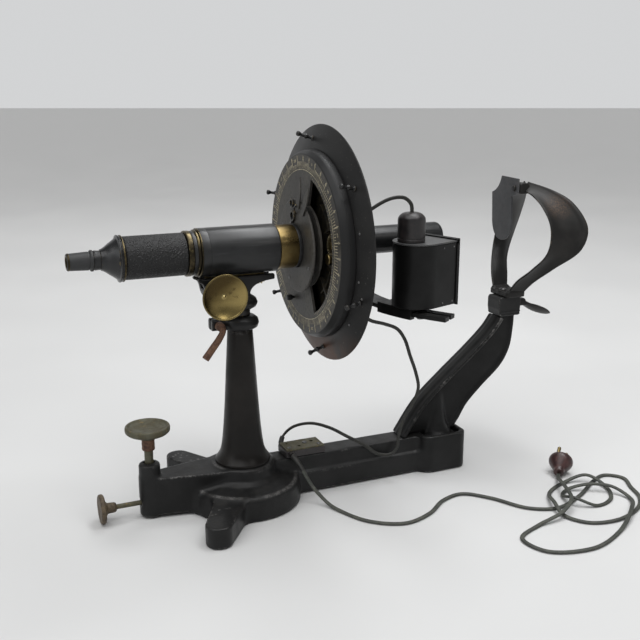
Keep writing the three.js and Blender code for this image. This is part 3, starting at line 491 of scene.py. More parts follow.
# ---------- materials ----------
class Paint:
    """A Principled material and short names for the nodes that feed it."""

    def __init__(self, name):
        self.material = bpy.data.materials.new(name)
        self.material.use_nodes = True
        self.tree = self.material.node_tree
        self.tree.nodes.clear()
        self.shader = self.node("ShaderNodeBsdfPrincipled")
        output = self.node("ShaderNodeOutputMaterial")
        self.link(self.shader.outputs[0], output.inputs["Surface"])
        place = self.node("ShaderNodeTexCoord")
        self.place = place.outputs["Object"]

    def node(self, kind, **settings):
        made = self.tree.nodes.new(kind)
        for key, value in settings.items():
            setattr(made, key, value)
        return made

    def link(self, start, end):
        self.tree.links.new(start, end)

    def put(self, socket, value):
        if isinstance(value, bpy.types.NodeSocket):
            self.link(value, socket)
        else:
            socket.default_value = value

    def set(self, **values):
        """Values or links for the shader's own sockets; an underscore stands for a space."""
        for key, value in values.items():
            if isinstance(value, tuple) and len(value) == 3:
                value = (*value, 1.0)
            self.put(self.shader.inputs[key.replace("_", " ")], value)

    def stretched(self, scale):
        """The place scaled by axis, for grain that runs one way."""
        mapping = self.node("ShaderNodeMapping")
        self.link(self.place, mapping.inputs["Vector"])
        mapping.inputs["Scale"].default_value = scale
        return mapping.outputs[0]

    def noise(self, scale, detail=3.0, roughness=0.55, distortion=0.0, place=None):
        made = self.node("ShaderNodeTexNoise")
        self.link(place or self.place, made.inputs["Vector"])
        made.inputs["Scale"].default_value = scale
        made.inputs["Detail"].default_value = detail
        made.inputs["Roughness"].default_value = roughness
        made.inputs["Distortion"].default_value = distortion
        return made.outputs["Fac"]

    def cells(self, scale, place, smoothness):
        """Distance from the middle of rounded cells."""
        made = self.node("ShaderNodeTexVoronoi", feature="SMOOTH_F1")
        self.link(place, made.inputs["Vector"])
        made.inputs["Scale"].default_value = scale
        made.inputs["Smoothness"].default_value = smoothness
        return made.outputs["Distance"]

    def span(self, value, low, high, to_low=0.0, to_high=1.0):
        """The value's span from low to high, stretched to another and clamped."""
        made = self.node("ShaderNodeMapRange", interpolation_type="SMOOTHSTEP")
        self.put(made.inputs["Value"], value)
        made.inputs["From Min"].default_value = low
        made.inputs["From Max"].default_value = high
        made.inputs["To Min"].default_value = to_low
        made.inputs["To Max"].default_value = to_high
        return made.outputs[0]

    def math(self, operation, a, b=0.0):
        made = self.node("ShaderNodeMath", operation=operation)
        self.put(made.inputs[0], a)
        self.put(made.inputs[1], b)
        return made.outputs[0]

    def times(self, a, b):
        return self.math("MULTIPLY", a, b)

    def mix(self, share, a, b):
        """Colour a at share 0 and b at share 1."""
        made = self.node("ShaderNodeMix", data_type="RGBA")
        self.put(made.inputs["Factor"], share)
        for socket, value in ((made.inputs[6], a), (made.inputs[7], b)):
            self.put(socket, (*value, 1.0) if isinstance(value, tuple) else value)
        return made.outputs[2]

    def edges(self, low=0.52, high=0.58):
        """Near 1 on the outer edges of a finely meshed piece."""
        return self.span(self.node("ShaderNodeNewGeometry").outputs["Pointiness"], low, high)

    def hollows(self):
        """Near 1 in the inner corners of a finely meshed piece."""
        pointed = self.node("ShaderNodeNewGeometry").outputs["Pointiness"]
        return self.math("SUBTRACT", 1.0, self.span(pointed, 0.44, 0.49))

    def upward(self, low=0.3, high=0.95):
        """Near 1 where the surface faces up."""
        parts = self.node("ShaderNodeSeparateXYZ")
        self.link(self.node("ShaderNodeNewGeometry").outputs["Normal"], parts.inputs[0])
        return self.span(parts.outputs["Z"], low, high)

    def height(self):
        """Height above the table in metres."""
        parts = self.node("ShaderNodeSeparateXYZ")
        self.link(self.place, parts.inputs[0])
        return parts.outputs["Z"]

    def rings(self, centre, flat):
        """Distance in metres from an axis through the centre; flat is 0 along the axis."""
        shift = self.node("ShaderNodeVectorMath", operation="SUBTRACT")
        self.link(self.place, shift.inputs[0])
        shift.inputs[1].default_value = [c * MM for c in centre]
        flatten = self.node("ShaderNodeVectorMath", operation="MULTIPLY")
        self.link(shift.outputs[0], flatten.inputs[0])
        flatten.inputs[1].default_value = flat
        length = self.node("ShaderNodeVectorMath", operation="LENGTH")
        self.link(flatten.outputs[0], length.inputs[0])
        return length.outputs["Value"]

    def lines(self, value, scale, detail=2.0):
        """Noise that changes only with one number, such as turning marks."""
        made = self.node("ShaderNodeTexNoise", noise_dimensions="1D")
        self.put(made.inputs["W"], value)
        made.inputs["Scale"].default_value = scale
        made.inputs["Detail"].default_value = detail
        return made.outputs["Fac"]

    def bumps(self, *layers):
        """Relief from layers of (height, distance in millimetres)."""
        normal = None
        for height, distance in layers:
            made = self.node("ShaderNodeBump")
            made.inputs["Distance"].default_value = distance * MM
            self.link(height, made.inputs["Height"])
            if normal is not None:
                self.link(normal, made.inputs["Normal"])
            normal = made.outputs[0]
        self.link(normal, self.shader.inputs["Normal"])


def japan(name="japan", wear=1.0, grain=1.0, deep=1.0, tint=(1, 1, 1), shine=0.24, ledges=()):
    """Baked black paint on cast iron, rubbed bright along its edges, and bright on the ledges with wear and
    a painted highlight.
    A ledge is the (radius, height) of an edge turned round the column, in millimetres."""
    iron = (0.16, 0.155, 0.15)
    base = tuple(0.0070 * deep * t for t in tint)
    faded = tuple(0.0150 * deep * t for t in tint)
    paint = Paint(name)
    clouds = paint.noise(16, 4, 0.6)
    specks = paint.noise(700, 3, 0.6)
    colour = paint.mix(paint.span(clouds, 0.35, 0.7), base, faded)
    settled = paint.span(paint.noise(60, 5, 0.65), 0.42, 0.75, 0.0, 0.4)
    dust = paint.times(paint.upward(), settled)
    colour = paint.mix(dust, colour, (0.028, 0.026, 0.023))
    chipped = paint.span(paint.noise(230, 5, 0.7), 0.46, 0.60)
    broad = paint.span(paint.noise(24, 2, 0.5), 0.42, 0.60, 0.08, 1.0)
    worn = paint.times(paint.times(paint.edges(0.509, 0.555), broad), chipped)
    worn = paint.times(worn, wear)
    # Bare iron on the turned ledges, partly wear and partly a painted highlight.
    for radius, level in ledges:
        reach = paint.math("SUBTRACT", paint.rings((0, 0, 0), (1, 1, 0)), radius * MM)
        near = paint.span(paint.math("ABSOLUTE", reach), 0.0032, 0.0006)
        rise = paint.math("ABSOLUTE", paint.math("SUBTRACT", paint.height(), level * MM))
        near = paint.times(near, paint.span(rise, 0.0036, 0.0016))
        bright = paint.times(near, paint.span(chipped, 0.0, 0.8, 0.25, 0.7))
        worn = paint.math("MAXIMUM", worn, paint.times(bright, broad))
    colour = paint.mix(worn, colour, iron)
    roughness = paint.span(paint.noise(45, 4, 0.6), 0.3, 0.75, 0.30, 0.47)
    roughness = paint.math("ADD", roughness, paint.times(dust, 0.25))
    paint.set(Base_Color=colour, Roughness=roughness, Metallic=paint.times(worn, 0.55))
    paint.set(Specular_IOR_Level=shine)
    swell = paint.noise(120, 3, 0.5)
    paint.bumps((swell, 0.22 * grain), (specks, 0.035 * grain))
    return paint.material


def lacquer(
    name="satin_black", base=(0.010, 0.0102, 0.0106), under=(0.26, 0.19, 0.085), rough=0.36,
    wear=1.0,
):
    """Satin black lacquer on turned metal, which shows through on the edges."""
    paint = Paint(name)
    patches = paint.noise(20, 4, 0.6)
    lighter = tuple(1.7 * c for c in base)
    colour = paint.mix(paint.span(patches, 0.35, 0.7), base, lighter)
    scratches = paint.noise(35, 2, 0.5, place=paint.stretched((0.4, 9, 9)))
    colour = paint.mix(paint.span(scratches, 0.64, 0.72, 0.0, 0.35), colour, (0.05, 0.05, 0.052))
    rubbed = paint.span(paint.noise(160, 4, 0.7), 0.42, 0.58)
    worn = paint.times(paint.times(paint.edges(0.52, 0.60), rubbed), wear)
    colour = paint.mix(worn, colour, under)
    roughness = paint.span(patches, 0.3, 0.7, rough - 0.05, rough + 0.08)
    paint.set(Base_Color=colour, Roughness=roughness, Metallic=paint.times(worn, 0.9))
    paint.set(Specular_IOR_Level=0.38)
    paint.bumps((paint.noise(240, 3, 0.5), 0.03), (scratches, 0.015))
    return paint.material


def dial_black():
    """Dull grey-black face of the dial, smudged and lightly scuffed."""
    paint = Paint("dial_black")
    smudges = paint.noise(26, 5, 0.62, 0.4)
    colour = paint.mix(paint.span(smudges, 0.3, 0.72), (0.036, 0.034, 0.031), (0.084, 0.079, 0.070))
    specks = paint.span(paint.noise(420, 3, 0.7), 0.63, 0.70)
    colour = paint.mix(paint.times(specks, 0.35), colour, (0.16, 0.15, 0.13))
    rubbed = paint.span(paint.noise(260, 4, 0.65), 0.50, 0.62, 0.0, 0.5)
    colour = paint.mix(rubbed, colour, (0.020, 0.019, 0.018))
    reach = paint.rings(*ABOUT_TELESCOPE)
    colour = paint.mix(paint.span(reach, 0.1052, 0.1062), colour, (0.0125, 0.0125, 0.0128))
    paint.set(Base_Color=colour, Roughness=paint.span(smudges, 0.3, 0.7, 0.40, 0.55))
    paint.set(Specular_IOR_Level=0.25)
    paint.bumps((paint.lines(reach, 2600), 0.012), (paint.noise(500, 2, 0.5), 0.02))
    return paint.material


def cone_black():
    """Grey-black paint of the shallow cone, with a painted brown reflection towards its low edge."""
    paint = Paint("cone_black")
    haze = paint.noise(14, 4, 0.6)
    colour = paint.mix(paint.span(haze, 0.35, 0.7), (0.010, 0.0100, 0.0102), (0.019, 0.0185, 0.018))
    # Painted reflection of a brown table on the low edge of the cone, broken up by the haze.
    low = paint.span(paint.height(), 0.225, 0.180, 0.0, 1.0)
    tarnish_and_reflection = paint.times(low, paint.span(haze, 0.3, 0.55))
    colour = paint.mix(tarnish_and_reflection, colour, (0.070, 0.028, 0.013))
    specks = paint.span(paint.noise(300, 3, 0.7), 0.66, 0.70)
    colour = paint.mix(paint.times(specks, 0.5), colour, (0.14, 0.13, 0.12))
    turning = paint.lines(paint.rings(*ABOUT_TELESCOPE), 1700)
    paint.set(Base_Color=colour, Roughness=paint.span(haze, 0.3, 0.7, 0.36, 0.48))
    paint.set(Specular_IOR_Level=0.22)
    paint.bumps((turning, 0.012), (paint.noise(350, 3, 0.5), 0.02))
    return paint.material


def wing_japan():
    """Black paint of the face rest, rubbed brown where the temples touch it."""
    paint = Paint("wing_japan")
    clouds = paint.noise(22, 4, 0.6)
    colour = paint.mix(paint.span(clouds, 0.35, 0.7), (0.0110, 0.0106, 0.0102), (0.022, 0.0205, 0.0190))
    temple = paint.rings((414, -52, 345), (1, 0.5, 1))
    near = paint.span(temple, 0.022, 0.004)
    rubbed = paint.times(near, paint.span(paint.noise(420, 5, 0.75), 0.36, 0.66, 0.0, 0.8))
    colour = paint.mix(rubbed, colour, (0.085, 0.050, 0.030))
    chips = paint.span(paint.noise(120, 4, 0.7), 0.50, 0.62)
    colour = paint.mix(paint.times(paint.edges(0.53, 0.62), chips), colour, (0.19, 0.15, 0.11))
    paint.set(Base_Color=colour, Roughness=paint.span(clouds, 0.3, 0.7, 0.36, 0.5))
    paint.set(Specular_IOR_Level=0.22)
    paint.bumps((paint.noise(110, 3, 0.5), 0.10), (paint.noise(620, 3, 0.6), 0.03))
    return paint.material


def leatherette():
    """Pebbled black grip."""
    paint = Paint("leatherette")
    bend = paint.node("ShaderNodeMix", data_type="VECTOR")
    bend.inputs["Factor"].default_value = 0.0015
    paint.link(paint.place, bend.inputs[4])
    waver = paint.node("ShaderNodeTexNoise")
    paint.link(paint.place, waver.inputs["Vector"])
    waver.inputs["Scale"].default_value = 350
    paint.link(waver.outputs["Color"], bend.inputs[5])
    pebble = paint.cells(430, bend.outputs[1], 0.3)
    fine = paint.noise(1500, 2, 0.5)
    crest = paint.span(pebble, 0.55, 0.15)
    rubbed = paint.times(crest, paint.span(paint.noise(40, 3, 0.6), 0.4, 0.7))
    colour = paint.mix(rubbed, (0.0085, 0.0085, 0.0088), (0.034, 0.033, 0.032))
    paint.set(Base_Color=colour, Roughness=paint.span(crest, 0.0, 1.0, 0.62, 0.44))
    paint.set(Specular_IOR_Level=0.42)
    paint.bumps((crest, 0.7), (fine, 0.03))
    return paint.material


def brass(name, bright, dark, tarnish):
    """Turned brass under old lacquer, browned in patches; tarnish runs from 0 to 1."""
    patina = (0.16, 0.13, 0.06)
    paint = Paint(name)
    patches = paint.noise(38, 5, 0.62, 0.6)
    tarnish_and_reflection = paint.span(patches, 0.62 - 0.3 * tarnish, 0.82 - 0.2 * tarnish)
    colour = paint.mix(tarnish_and_reflection, bright, dark)
    spots = paint.span(paint.noise(260, 4, 0.7), 0.58, 0.68, 0.0, 0.7)
    colour = paint.mix(spots, colour, patina)
    colour = paint.mix(paint.times(paint.hollows(), 0.8), colour, tuple(0.3 * c for c in patina))
    marks = paint.lines(paint.rings(*ABOUT_TELESCOPE), 3800, 3)
    roughness = paint.span(patches, 0.3, 0.75, 0.25, 0.46)
    paint.set(Base_Color=colour, Roughness=roughness, Metallic=1.0)
    paint.bumps((marks, 0.010), (paint.noise(300, 3, 0.6), 0.02))
    return paint.material


def knob_brass():
    """Spun brass of the focus knob, with painted shade above, a painted highlight below and another on its
    central point.
    """
    paint = Paint("spun_brass")
    across = paint.node("ShaderNodeVectorMath", operation="DOT_PRODUCT")
    paint.link(paint.place, across.inputs[0])
    downward = (0.55, 0, -0.83)
    across.inputs[1].default_value = downward
    middle = np.dot(downward, PINION) * MM
    reach = paint.rings(PINION, (1, 0, 1))
    uneven = paint.times(paint.noise(55, 4, 0.6), 0.010)
    sweep = paint.math("ADD", across.outputs["Value"], uneven)
    # Painted shade and highlight: dark above and bright below along the downward sweep, as the light falls
    # on the dish.
    painted_highlight = paint.span(sweep, middle - 0.009, middle + 0.026)
    colour = paint.mix(painted_highlight, (0.060, 0.042, 0.017), (0.42, 0.32, 0.125))
    # Painted highlight on the central point.
    colour = paint.mix(paint.span(reach, 0.0040, 0.0008), colour, (0.46, 0.37, 0.17))
    stains = paint.span(paint.noise(140, 4, 0.7), 0.54, 0.70, 0.0, 0.6)
    colour = paint.mix(stains, colour, (0.075, 0.055, 0.024))
    rim = paint.times(paint.span(reach, 0.0236, 0.0250), 0.55)
    colour = paint.mix(rim, colour, (0.16, 0.125, 0.055))
    roughness = paint.span(stains, 0.0, 0.6, 0.24, 0.42)
    paint.set(Base_Color=colour, Roughness=roughness, Metallic=1.0, Anisotropic=0.6)
    spin = paint.node("ShaderNodeTangent", direction_type="RADIAL", axis="Y")
    paint.link(spin.outputs[0], paint.shader.inputs["Tangent"])
    paint.bumps((paint.lines(reach, 3800, 3), 0.010), (paint.noise(300, 3, 0.6), 0.02))
    return paint.material


def green_brass():
    """Brass gone dull olive and green, with bare patches."""
    paint = Paint("green_brass")
    clouds = paint.noise(70, 5, 0.65, 0.5)
    colour = paint.mix(paint.span(clouds, 0.34, 0.66), (0.076, 0.066, 0.038), (0.100, 0.098, 0.068))
    bare = paint.span(paint.noise(150, 4, 0.7), 0.57, 0.70)
    colour = paint.mix(paint.times(bare, 0.7), colour, (0.26, 0.20, 0.095))
    grime = paint.math("MAXIMUM", paint.hollows(), paint.span(paint.noise(320, 3, 0.7), 0.62, 0.7))
    colour = paint.mix(paint.times(grime, 0.75), colour, (0.030, 0.032, 0.024))
    roughness = paint.span(clouds, 0.3, 0.7, 0.62, 0.46)
    paint.set(Base_Color=colour, Roughness=roughness, Metallic=paint.span(bare, 0.0, 1.0, 0.45, 0.85))
    paint.bumps((clouds, 0.10), (paint.noise(900, 3, 0.6), 0.04))
    return paint.material


def rusty_steel(name="rusty_steel", deep=(0.060, 0.027, 0.017), bright=(0.165, 0.082, 0.045)):
    """Steel under brown rust, pitted, polished a little by hands."""
    paint = Paint(name)
    clouds = paint.noise(110, 6, 0.7, 0.4)
    colour = paint.mix(paint.span(clouds, 0.32, 0.62), deep, bright)
    dark = paint.span(paint.noise(420, 4, 0.7), 0.52, 0.66)
    colour = paint.mix(paint.times(dark, 0.7), colour, (0.022, 0.015, 0.012))
    bare = paint.times(paint.edges(0.52, 0.60), paint.span(clouds, 0.45, 0.6))
    colour = paint.mix(bare, colour, (0.30, 0.24, 0.20))
    paint.set(Base_Color=colour, Roughness=paint.span(clouds, 0.3, 0.7, 0.68, 0.48))
    paint.set(Metallic=paint.span(bare, 0.0, 1.0, 0.25, 0.8))
    paint.bumps((clouds, 0.22), (paint.noise(1400, 3, 0.6), 0.06))
    return paint.material


def steel():
    """Small screws and pins of dull steel."""
    paint = Paint("blued_steel")
    clouds = paint.noise(300, 4, 0.65)
    colour = paint.mix(paint.span(clouds, 0.35, 0.65), (0.10, 0.10, 0.105), (0.26, 0.255, 0.25))
    paint.set(Base_Color=colour, Roughness=paint.span(clouds, 0.3, 0.7, 0.32, 0.5), Metallic=0.9)
    paint.bumps((clouds, 0.03))
    return paint.material


def bakelite(name, dark, light, rough=0.3):
    """Moulded bakelite with a faint mottle, dulled by age."""
    paint = Paint(name)
    mottle = paint.noise(85, 4, 0.6, 1.2)
    colour = paint.mix(paint.span(mottle, 0.38, 0.66), dark, light)
    settled = paint.span(paint.noise(120, 4, 0.7), 0.4, 0.7, 0.0, 0.4)
    dust = paint.times(paint.upward(0.4, 1.0), settled)
    colour = paint.mix(dust, colour, (0.06, 0.052, 0.045))
    faded = tuple(2.6 * c for c in light)
    colour = paint.mix(paint.times(paint.edges(0.53, 0.62), 0.4), colour, faded)
    roughness = paint.span(mottle, 0.3, 0.7, rough, rough + 0.12)
    roughness = paint.math("ADD", roughness, paint.times(dust, 0.3))
    paint.set(Base_Color=colour, Roughness=roughness)
    paint.bumps((paint.noise(180, 3, 0.5), 0.04), (paint.noise(1200, 2, 0.5), 0.012))
    return paint.material


def flex_rubber(name="flex_rubber", deep=(0.034, 0.037, 0.031), bright=(0.068, 0.071, 0.058)):
    """Old grey-green rubber of the leads, chalky and soiled."""
    paint = Paint(name)
    clouds = paint.noise(60, 4, 0.6)
    colour = paint.mix(paint.span(clouds, 0.35, 0.65), deep, bright)
    grime = paint.span(paint.noise(380, 4, 0.7), 0.50, 0.66, 0.0, 0.7)
    colour = paint.mix(grime, colour, (0.022, 0.021, 0.018))
    chalk = paint.span(paint.noise(900, 2, 0.6), 0.62, 0.70, 0.0, 0.4)
    colour = paint.mix(chalk, colour, (0.13, 0.13, 0.115))
    paint.set(Base_Color=colour, Roughness=paint.span(clouds, 0.3, 0.7, 0.55, 0.75))
    paint.bumps((paint.noise(500, 3, 0.6), 0.10), (paint.noise(2200, 2, 0.5), 0.03))
    return paint.material


def cream_paint():
    """Yellowed filling of the engraved scale, worn thin in places."""
    paint = Paint("cream_paint")
    fading = paint.noise(130, 4, 0.7)
    colour = paint.mix(paint.span(fading, 0.36, 0.62), (0.50, 0.44, 0.29), (0.20, 0.18, 0.13))
    paint.set(Base_Color=colour, Roughness=paint.span(fading, 0.3, 0.7, 0.5, 0.7))
    paint.bumps((fading, 0.03))
    return paint.material


def clear_glass():
    """Lens glass with a trace of dust."""
    paint = Paint("clear_glass")
    dust = paint.span(paint.noise(220, 4, 0.7), 0.45, 0.8, 0.02, 0.12)
    paint.set(Base_Color=(0.93, 0.97, 0.96), Roughness=dust, Transmission_Weight=1.0, IOR=1.5)
    paint.bumps((paint.noise(60, 1, 0.5), 0.01))
    return paint.material


def frosted_glass():
    """Milky glass, as of the bulb and the lit mire."""
    paint = Paint("frosted_glass")
    clouds = paint.noise(90, 3, 0.6)
    colour = paint.mix(paint.span(clouds, 0.35, 0.65), (0.62, 0.62, 0.58), (0.74, 0.74, 0.70))
    paint.set(Base_Color=colour, Roughness=paint.span(clouds, 0.3, 0.7, 0.32, 0.45))
    paint.set(Subsurface_Weight=0.2)
    paint.bumps((paint.noise(900, 2, 0.5), 0.02))
    return paint.material


def make_materials():
    """Each material once, by the name that the pieces know it by."""
    return {
        "japan": japan(),
        "casting": japan("casting_japan", ledges=((64.5, 28.5), (36.2, 49))),
        "smooth_japan": japan("smooth_japan", 0.7, grain=0.35, tint=(1.0, 0.86, 0.76), shine=0.2),
        "satin": lacquer(),
        "tube": lacquer("tube_black", rough=0.33, wear=0.0),
        "bell": lacquer("bell_black", (0.0105, 0.0107, 0.0112), rough=0.24, wear=0.3),
        "matt": lacquer("matt_black", (0.020, 0.0205, 0.021), rough=0.5, wear=0.6),
        "dial": dial_black(),
        "leather": leatherette(),
        "knob": knob_brass(),
        "collar": brass("collar_brass", (0.15, 0.118, 0.060), (0.030, 0.025, 0.017), 1.0),
        "sleeve": brass("sleeve_brass", (0.17, 0.122, 0.050), (0.11, 0.066, 0.029), 0.1),
        "pit": lacquer("window_black", (0.0045, 0.0045, 0.0045), (0.10, 0.08, 0.04), 0.5, 0.3),
        "relief": bakelite("relief_rubber", (0.010, 0.010, 0.0095), (0.020, 0.019, 0.017), 0.5),
        "fittings": brass("fittings_brass", (0.34, 0.26, 0.11), (0.12, 0.09, 0.045), 0.8),
        "green": green_brass(),
        "rust": rusty_steel(),
        "bronze": rusty_steel("brown_bronze", (0.046, 0.031, 0.019), (0.120, 0.090, 0.054)),
        "steel": steel(),
        "plug": bakelite("plug_bakelite", (0.030, 0.013, 0.013), (0.060, 0.024, 0.022)),
        "cap": bakelite("cap_bakelite", (0.012, 0.0105, 0.011), (0.022, 0.018, 0.018), 0.33),
        "flex": flex_rubber(),
        "lamp_flex": flex_rubber("lamp_flex", (0.016, 0.0165, 0.0145), (0.034, 0.034, 0.029)),
        "cream": cream_paint(),
        "glass": clear_glass(),
        "milky": frosted_glass(),
        "cone": cone_black(),
        "lamp": japan("lamp_japan", 0.0, grain=0.3, deep=0.7, shine=0.2),
        "lid": lacquer("lid_grey", (0.054, 0.0545, 0.056), (0.2, 0.19, 0.17), 0.45, 0.3),
        "arm": japan("arm_japan", 0.8, grain=0.6, deep=0.8, shine=0.2),
        "wings": wing_japan(),
        "occluder": lacquer("occluder_grey", (0.040, 0.041, 0.044), (0.14, 0.135, 0.13), 0.42, 0.6),
    }


# ---------- stand ----------
RAIL_HALF = [
    (20.8, 1.5), (20.8, 26.5), (18.8, 28.5), (16.4, 29.1), (15.6, 31.0), (15.2, 46.2), (13.6, 47.7),
]
HUB = [
    (0, 0), (70, 0), (70.5, 4), (68.5, 24), (65, 28.5), (57, 30.5), (47, 33.5), (41, 38), (38.4, 45),
    (37, 49), (35.4, 50), (0, 50),
]
LEG_ANGLES = (117, -122)
NOSE_BOSS = [
    (0, 1.2), (12.5, 1.2), (12.8, 20), (12.5, 64.5), (11, 66), (8.2, 66), (7.6, 69.4), (0, 69.4),
]
LOCK_Z = 17.8  # height of the lock screw's axis
SCREW_BORE = 6.2
LOCK_BORE = 3.9


def quadratic(start, control, end, steps=8):
    """Points along a curve that leaves and arrives towards its control point."""
    a, b, c = (np.array(p, float) for p in (start, control, end))
    return [tuple((1 - t) ** 2 * a + 2 * t * (1 - t) * b + t * t * c) for t in np.linspace(0, 1, steps + 1)]


def base_field(x, y, z):
    solid = turned_distance(HUB, np.hypot(x, y), z)
    for angle in LEG_ANGLES:
        out = np.array((math.cos(math.radians(angle)), math.sin(math.radians(angle))))
        leg = pushed(slot_distance(x, y, 44 * out, 21, 118 * out, 15.5), z, 0, 25)
        solid = joined(solid, leg, 9)
    nose = pushed(slot_distance(x, y, (0, 0), 33, (NOSE_X, 0), 12.5), z, 3.5, 50)
    solid = joined(solid, nose, 7)
    boss = turned_distance(NOSE_BOSS, np.hypot(x - NOSE_X, y), z)
    solid = joined(solid, boss, 3)
    outline = RAIL_HALF + [(-u, v) for u, v in reversed(RAIL_HALF)]
    rail = np.maximum(polygon_distance(outline, y, z), np.maximum(20 - x, x - 263))
    solid = joined(solid, rail, 3.5)
    end = pushed(rounded_rectangle(x, y, 238, 303, -31, 31, 13), z, 0, 50)
    solid = joined(solid, end, 9)
    pocket = pushed(rounded_rectangle(x, y, 247, 297, -24, 24, 9), z, 41.5, 60)
    solid = less(solid, pocket, 1.2)
    solid = less(solid, block_distance(x, y, z, 200, 250, -18, 18, 47.7, 60))
    solid = less(solid, np.hypot(x - NOSE_X, y) - SCREW_BORE)
    lock_bore = np.maximum(np.hypot(y, z - LOCK_Z) - LOCK_BORE, x - NOSE_X)
    return less(solid, lock_bore, 0.4)


def base_casting(paint):
    form = solid_of(base_field, (-134, -126, -3), (308, 126, 74), 1.4)
    form.points[:, 2] = np.maximum(form.points[:, 2], 0.0)
    stand_in("base_casting", form, paint, 180)


def column(paint):
    flare = [(32.6, 55.6), (28.4, 62), (26, 69), (22.8, 94), (20.4, 125), (17.9, 166), (15, 214.5)]
    flare = smooth_line(flare, 44)
    foot = rounded([(0, 50.4), (31.6, 50.4), (33.4, 52), (33.4, 54.6), (32.6, 55.6)], 0.8, closed=False)
    top = [(14, 216.4), (9.5, 216.4), (9.5, 150), (0, 150)]
    stand_in("column", lathe([*foot[:-1], *map(tuple, flare), *top], segments=128), paint)


def collar_field(x, y, z):
    profile = [
        (0, 216.8), (17, 216.8), (21, 219), (22.6, 224), (21.4, 229), (17.5, 232), (14, 233), (0, 233),
    ]
    solid = turned_distance(profile, np.hypot(x, y), z)
    ears = pushed(rounded_rectangle(y, z, -8.5, 8.5, 217.5, 231, 3.5), x, -36, -15)
    solid = joined(solid, ears, 3)
    solid = less(solid, block_distance(x, y, z, -50, -5, -1.2, 1.2, 200, 250), 0.4)
    solid = less(solid, np.hypot(x, y) - 9.5, 0.4)
    return less(solid, np.hypot(x + 28, z - 224) - 3.5, 0.4)


def clamp_collar(paint):
    stand_in("clamp_collar", solid_of(collar_field, (-39, -26, 214), (26, 26, 236), 0.75), paint, 180)


def clamp_lever(paint):
    bolt = [
        (0, -17), (5, -17), (5.4, -8.9), (2.9, -8.9), (2.9, 8.9), (5.5, 8.9), (5.5, 12), (0, 12),
    ]
    bolt = lathe(rounded(bolt, 0.8), "Y", 40, (-28, 0, 224))
    bend = [
        (-26, -14, 224), (-26, -16, 219), (-31, -17.6, 211), (-39.5, -19.2, 201), (-49, -21, 190),
    ]
    path = smooth_line(bend, 30)
    path = np.vstack([path, path[-1] + 0.3 * (path[-1] - path[-2])])
    sizes = np.interp(np.arange(31), [0, 6, 12, 29, 30], [1.0, 0.98, 1.06, 1.14, 1.0])
    handle = swept(path, round_section(3.8, 28), (0, 1, 0), sizes)
    stand_in("clamp_lever", bolt + handle, paint)


def swivel_post(paint):
    profile = [(0, 152), (9, 152), (9, 233.3), (12.4, 233.3), (12.4, 240), (8, 240), (8, 254), (0, 254)]
    stand_in("swivel_post", lathe(rounded(profile, 0.6), segments=72), paint)


def saddle_field(x, y, z):
    lobe = [(0, 240.3), (14, 240.3), (19.6, 243.5), (21.6, 248), (19.6, 253), (13.6, 257), (11, 261)]
    lobe += [(10.5, 268), (0, 268)]
    solid = turned_distance(lobe, np.hypot(x, y), z)
    side = [(-52, 280.9), (40, 280.9), *quadratic((40, 274.5), (11, 273), (9.5, 260))]
    side += [(10, 250), *quadratic((-30, 250), (-42, 254), (-44, 266))]
    side += quadratic((-44, 266), (-45, 277), (-52, 277.5))[1:]
    bracket = pushed(polygon_distance(side, x, z), y, -13.5, 13.5)
    solid = joined(solid, bracket, 3)
    solid = less(solid, np.hypot(y, z - AXIS) - 28.2, 0.4)
    solid = less(solid, block_distance(x, y, z, -90, 90, -6.2, 6.2, 267.8, 320), 0.4)
    bore = np.maximum(np.hypot(x - PINION[0], z - PINION[2]) - 6.9, np.abs(y) - 20)
    solid = less(solid, bore, 0.4)
    return less(solid, np.maximum(np.hypot(x, y) - 8.4, z - 254.5), 0.4)


def saddle(paint):
    stand_in("saddle", solid_of(saddle_field, (-55, -25, 238), (43, 25, 288), 1.0), paint, 180)


def levelling(green, rust):
    screw = [(0, 3.3), (5.1, 3.3), (5.1, 96), (9.5, 97), (15, 100.5), (23, 103.4), (25.9, 106), (26.1, 110)]
    screw += [(25.2, 112.2), (23.4, 112.2), (21.4, 110.3), (10, 108.9), (0, 108.5)]
    stand_in("levelling_screw", lathe(rounded(screw, 0.9), segments=96, centre=(NOSE_X, 0, 0)), green)
    neck = [(5.2, 82), (7.3, 82.8), (7.7, 84.6), (7.3, 86), (7.5, 90), (7.4, 94), (8.6, 96.4), (5.2, 97)]
    piece(
        "levelling_neck", lathe(rounded(neck, 0.5), segments=56, centre=(NOSE_X, 0, 0)), rust,
        "levelling_screw",
    )
    foot = [(0, 0), (4.4, 0), (5, 0.8), (5, 3), (0, 3)]
    stand_in("levelling_foot", lathe(rounded(foot, 0.3), segments=40, centre=(NOSE_X, 0, 0)), rust)


def lock_screw(rust, green):
    head = [
        (0, -174.2), (9, -174.8), (14.4, -175.3), (16.4, -175.2), (17.4, -173.8), (17.4, -171),
        (16, -169.6), (9, -168.6), (6.3, -166), (5.9, -158), (4.6, -156), (0, -155.6),
    ]
    place = (0, 0, LOCK_Z)
    stand_in("lock_screw", lathe(rounded(head, 0.6), "X", 80, place), rust)
    rod = [(0, -157), (2.9, -157), (2.9, -120.9), (0, -120.7)]
    piece("lock_screw_rod", lathe(rounded(rod, 0.3), "X", 32, place), green, "lock_screw")


